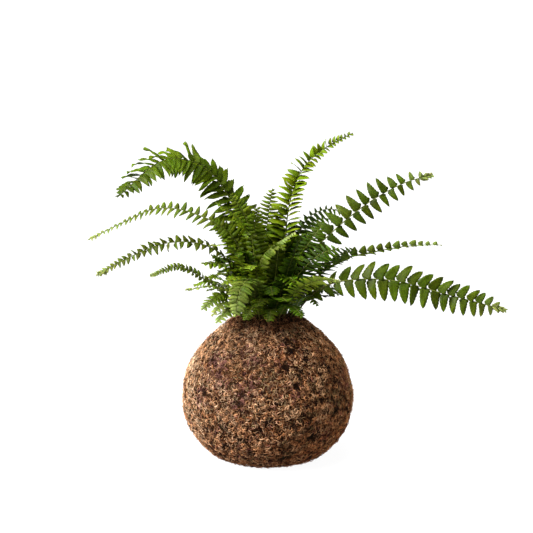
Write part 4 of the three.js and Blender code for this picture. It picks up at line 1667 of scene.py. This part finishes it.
@dataclass
class Studio:
    """A lit white table, soft lights and the camera."""

    distance: float = 1000.0
    elevation: float = 6.0
    aim: Point = (-1.0, 0.0, 161.0)
    focal_pixels: float = 1210.0
    sensor: float = 36.0
    clip_m: tuple[float, float] = (0.01, 50)
    table_m: float = 40.0
    ambient: float = 0.15
    backdrop: float = 1.1
    # Each lamp's name, the way that it lies from the plant, its spread in degrees and its strength
    lamps: tuple[tuple[str, Point, float, float], ...] = (
        ("key", (-0.88, -0.33, 0.58), 30, 9.5),
        ("top", (-0.3, -0.3, 1.0), 60, 4.0),
        ("fill", (0.4, -1.0, 1.0), 60, 0.4),
    )

    def camera(self) -> None:
        """Sets the camera level with the plant, a little above it."""
        data = bpy.data.cameras.new("camera")
        data.sensor_width = self.sensor
        data.lens = self.focal_pixels / FRAME_PIXELS * self.sensor
        data.clip_start, data.clip_end = self.clip_m
        camera = bpy.data.objects.new("camera", data)
        tilt = math.radians(self.elevation)
        back = Vector((0, -math.cos(tilt), math.sin(tilt)))
        camera.location = (Vector(self.aim) + back * self.distance) * MM
        camera.rotation_mode = "QUATERNION"
        camera.rotation_quaternion = (-back).to_track_quat("-Z", "Y")
        bpy.context.scene.collection.objects.link(camera)
        bpy.context.scene.camera = camera

    def floor(self) -> None:
        """Lays the table under the ball."""
        bm = bmesh.new()
        bmesh.ops.create_grid(bm, x_segments=2, y_segments=2, size=self.table_m)
        mesh = bpy.data.meshes.new("paper")
        bm.to_mesh(mesh)
        bm.free()
        floor = bpy.data.objects.new("paper", mesh)
        mesh.materials.append(LightTable().make())
        bpy.context.scene.collection.objects.link(floor)

    def sun(self, name: str, toward: Point, spread: float, strength: float) -> None:
        """Adds a far, soft light.

        Args:
            name: The light's name.
            toward: The way that it lies, seen from the plant.
            spread: How wide it looks, in degrees.
            strength: Its strength.
        """
        data = bpy.data.lights.new(name, "SUN")
        data.angle, data.energy = math.radians(spread), strength
        lamp = bpy.data.objects.new(name, data)
        lamp.location = Vector(toward)
        lamp.rotation_euler = (-Vector(toward)).to_track_quat("-Z", "Y").to_euler()
        bpy.context.scene.collection.objects.link(lamp)

    def room(self) -> None:
        """Fills the room with even light, and shows it as plain white."""
        world = bpy.data.worlds.new("white room")
        world.use_nodes = True
        seen = add_node(world, "LightPath").outputs["Is Camera Ray"]
        level = add_node(world, "MapRange", span(0, 1, self.ambient, self.backdrop), {"Value": seen})
        white = world.node_tree.nodes["Background"]
        white.inputs["Color"].default_value = (1, 1, 1, 1)
        world.node_tree.links.new(level.outputs[0], white.inputs["Strength"])
        bpy.context.scene.world = world

    def build(self) -> None:
        """Sets the whole studio."""
        self.camera()
        self.floor()
        self.room()
        for lamp in self.lamps:
            self.sun(*lamp)
        bpy.context.scene.view_settings.view_transform = "Standard"


# ---------------------------------------------------------------- assembly


def dress_solid(node: Object, material: Material) -> None:
    """Gives a kept CAD node its finish."""
    node.data.materials.clear()
    node.data.materials.append(material)


def main() -> None:
    """Builds the kokedama and its studio, and reports each piece."""
    logging.basicConfig(level=logging.INFO, format="%(name)s: %(message)s")
    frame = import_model()
    Studio().build()
    ball = MossBall()
    pieces = [ball.body(), *ball.fur(), ball.collar(), *Fern().build()]
    dress_solid(frame["nodes"]["soil_ball"], DampPeat().make())
    dress_solid(frame["nodes"]["crown"], RhizomeScale().make())
    total = 0
    for piece in pieces:
        piece.data.calc_loop_triangles()
        count = len(piece.data.loop_triangles)
        total += count
        LOG.info("%s: %d triangles", piece.name, count)
    LOG.info("all pieces: %d triangles", total)


if __name__ == "__main__":
    main()
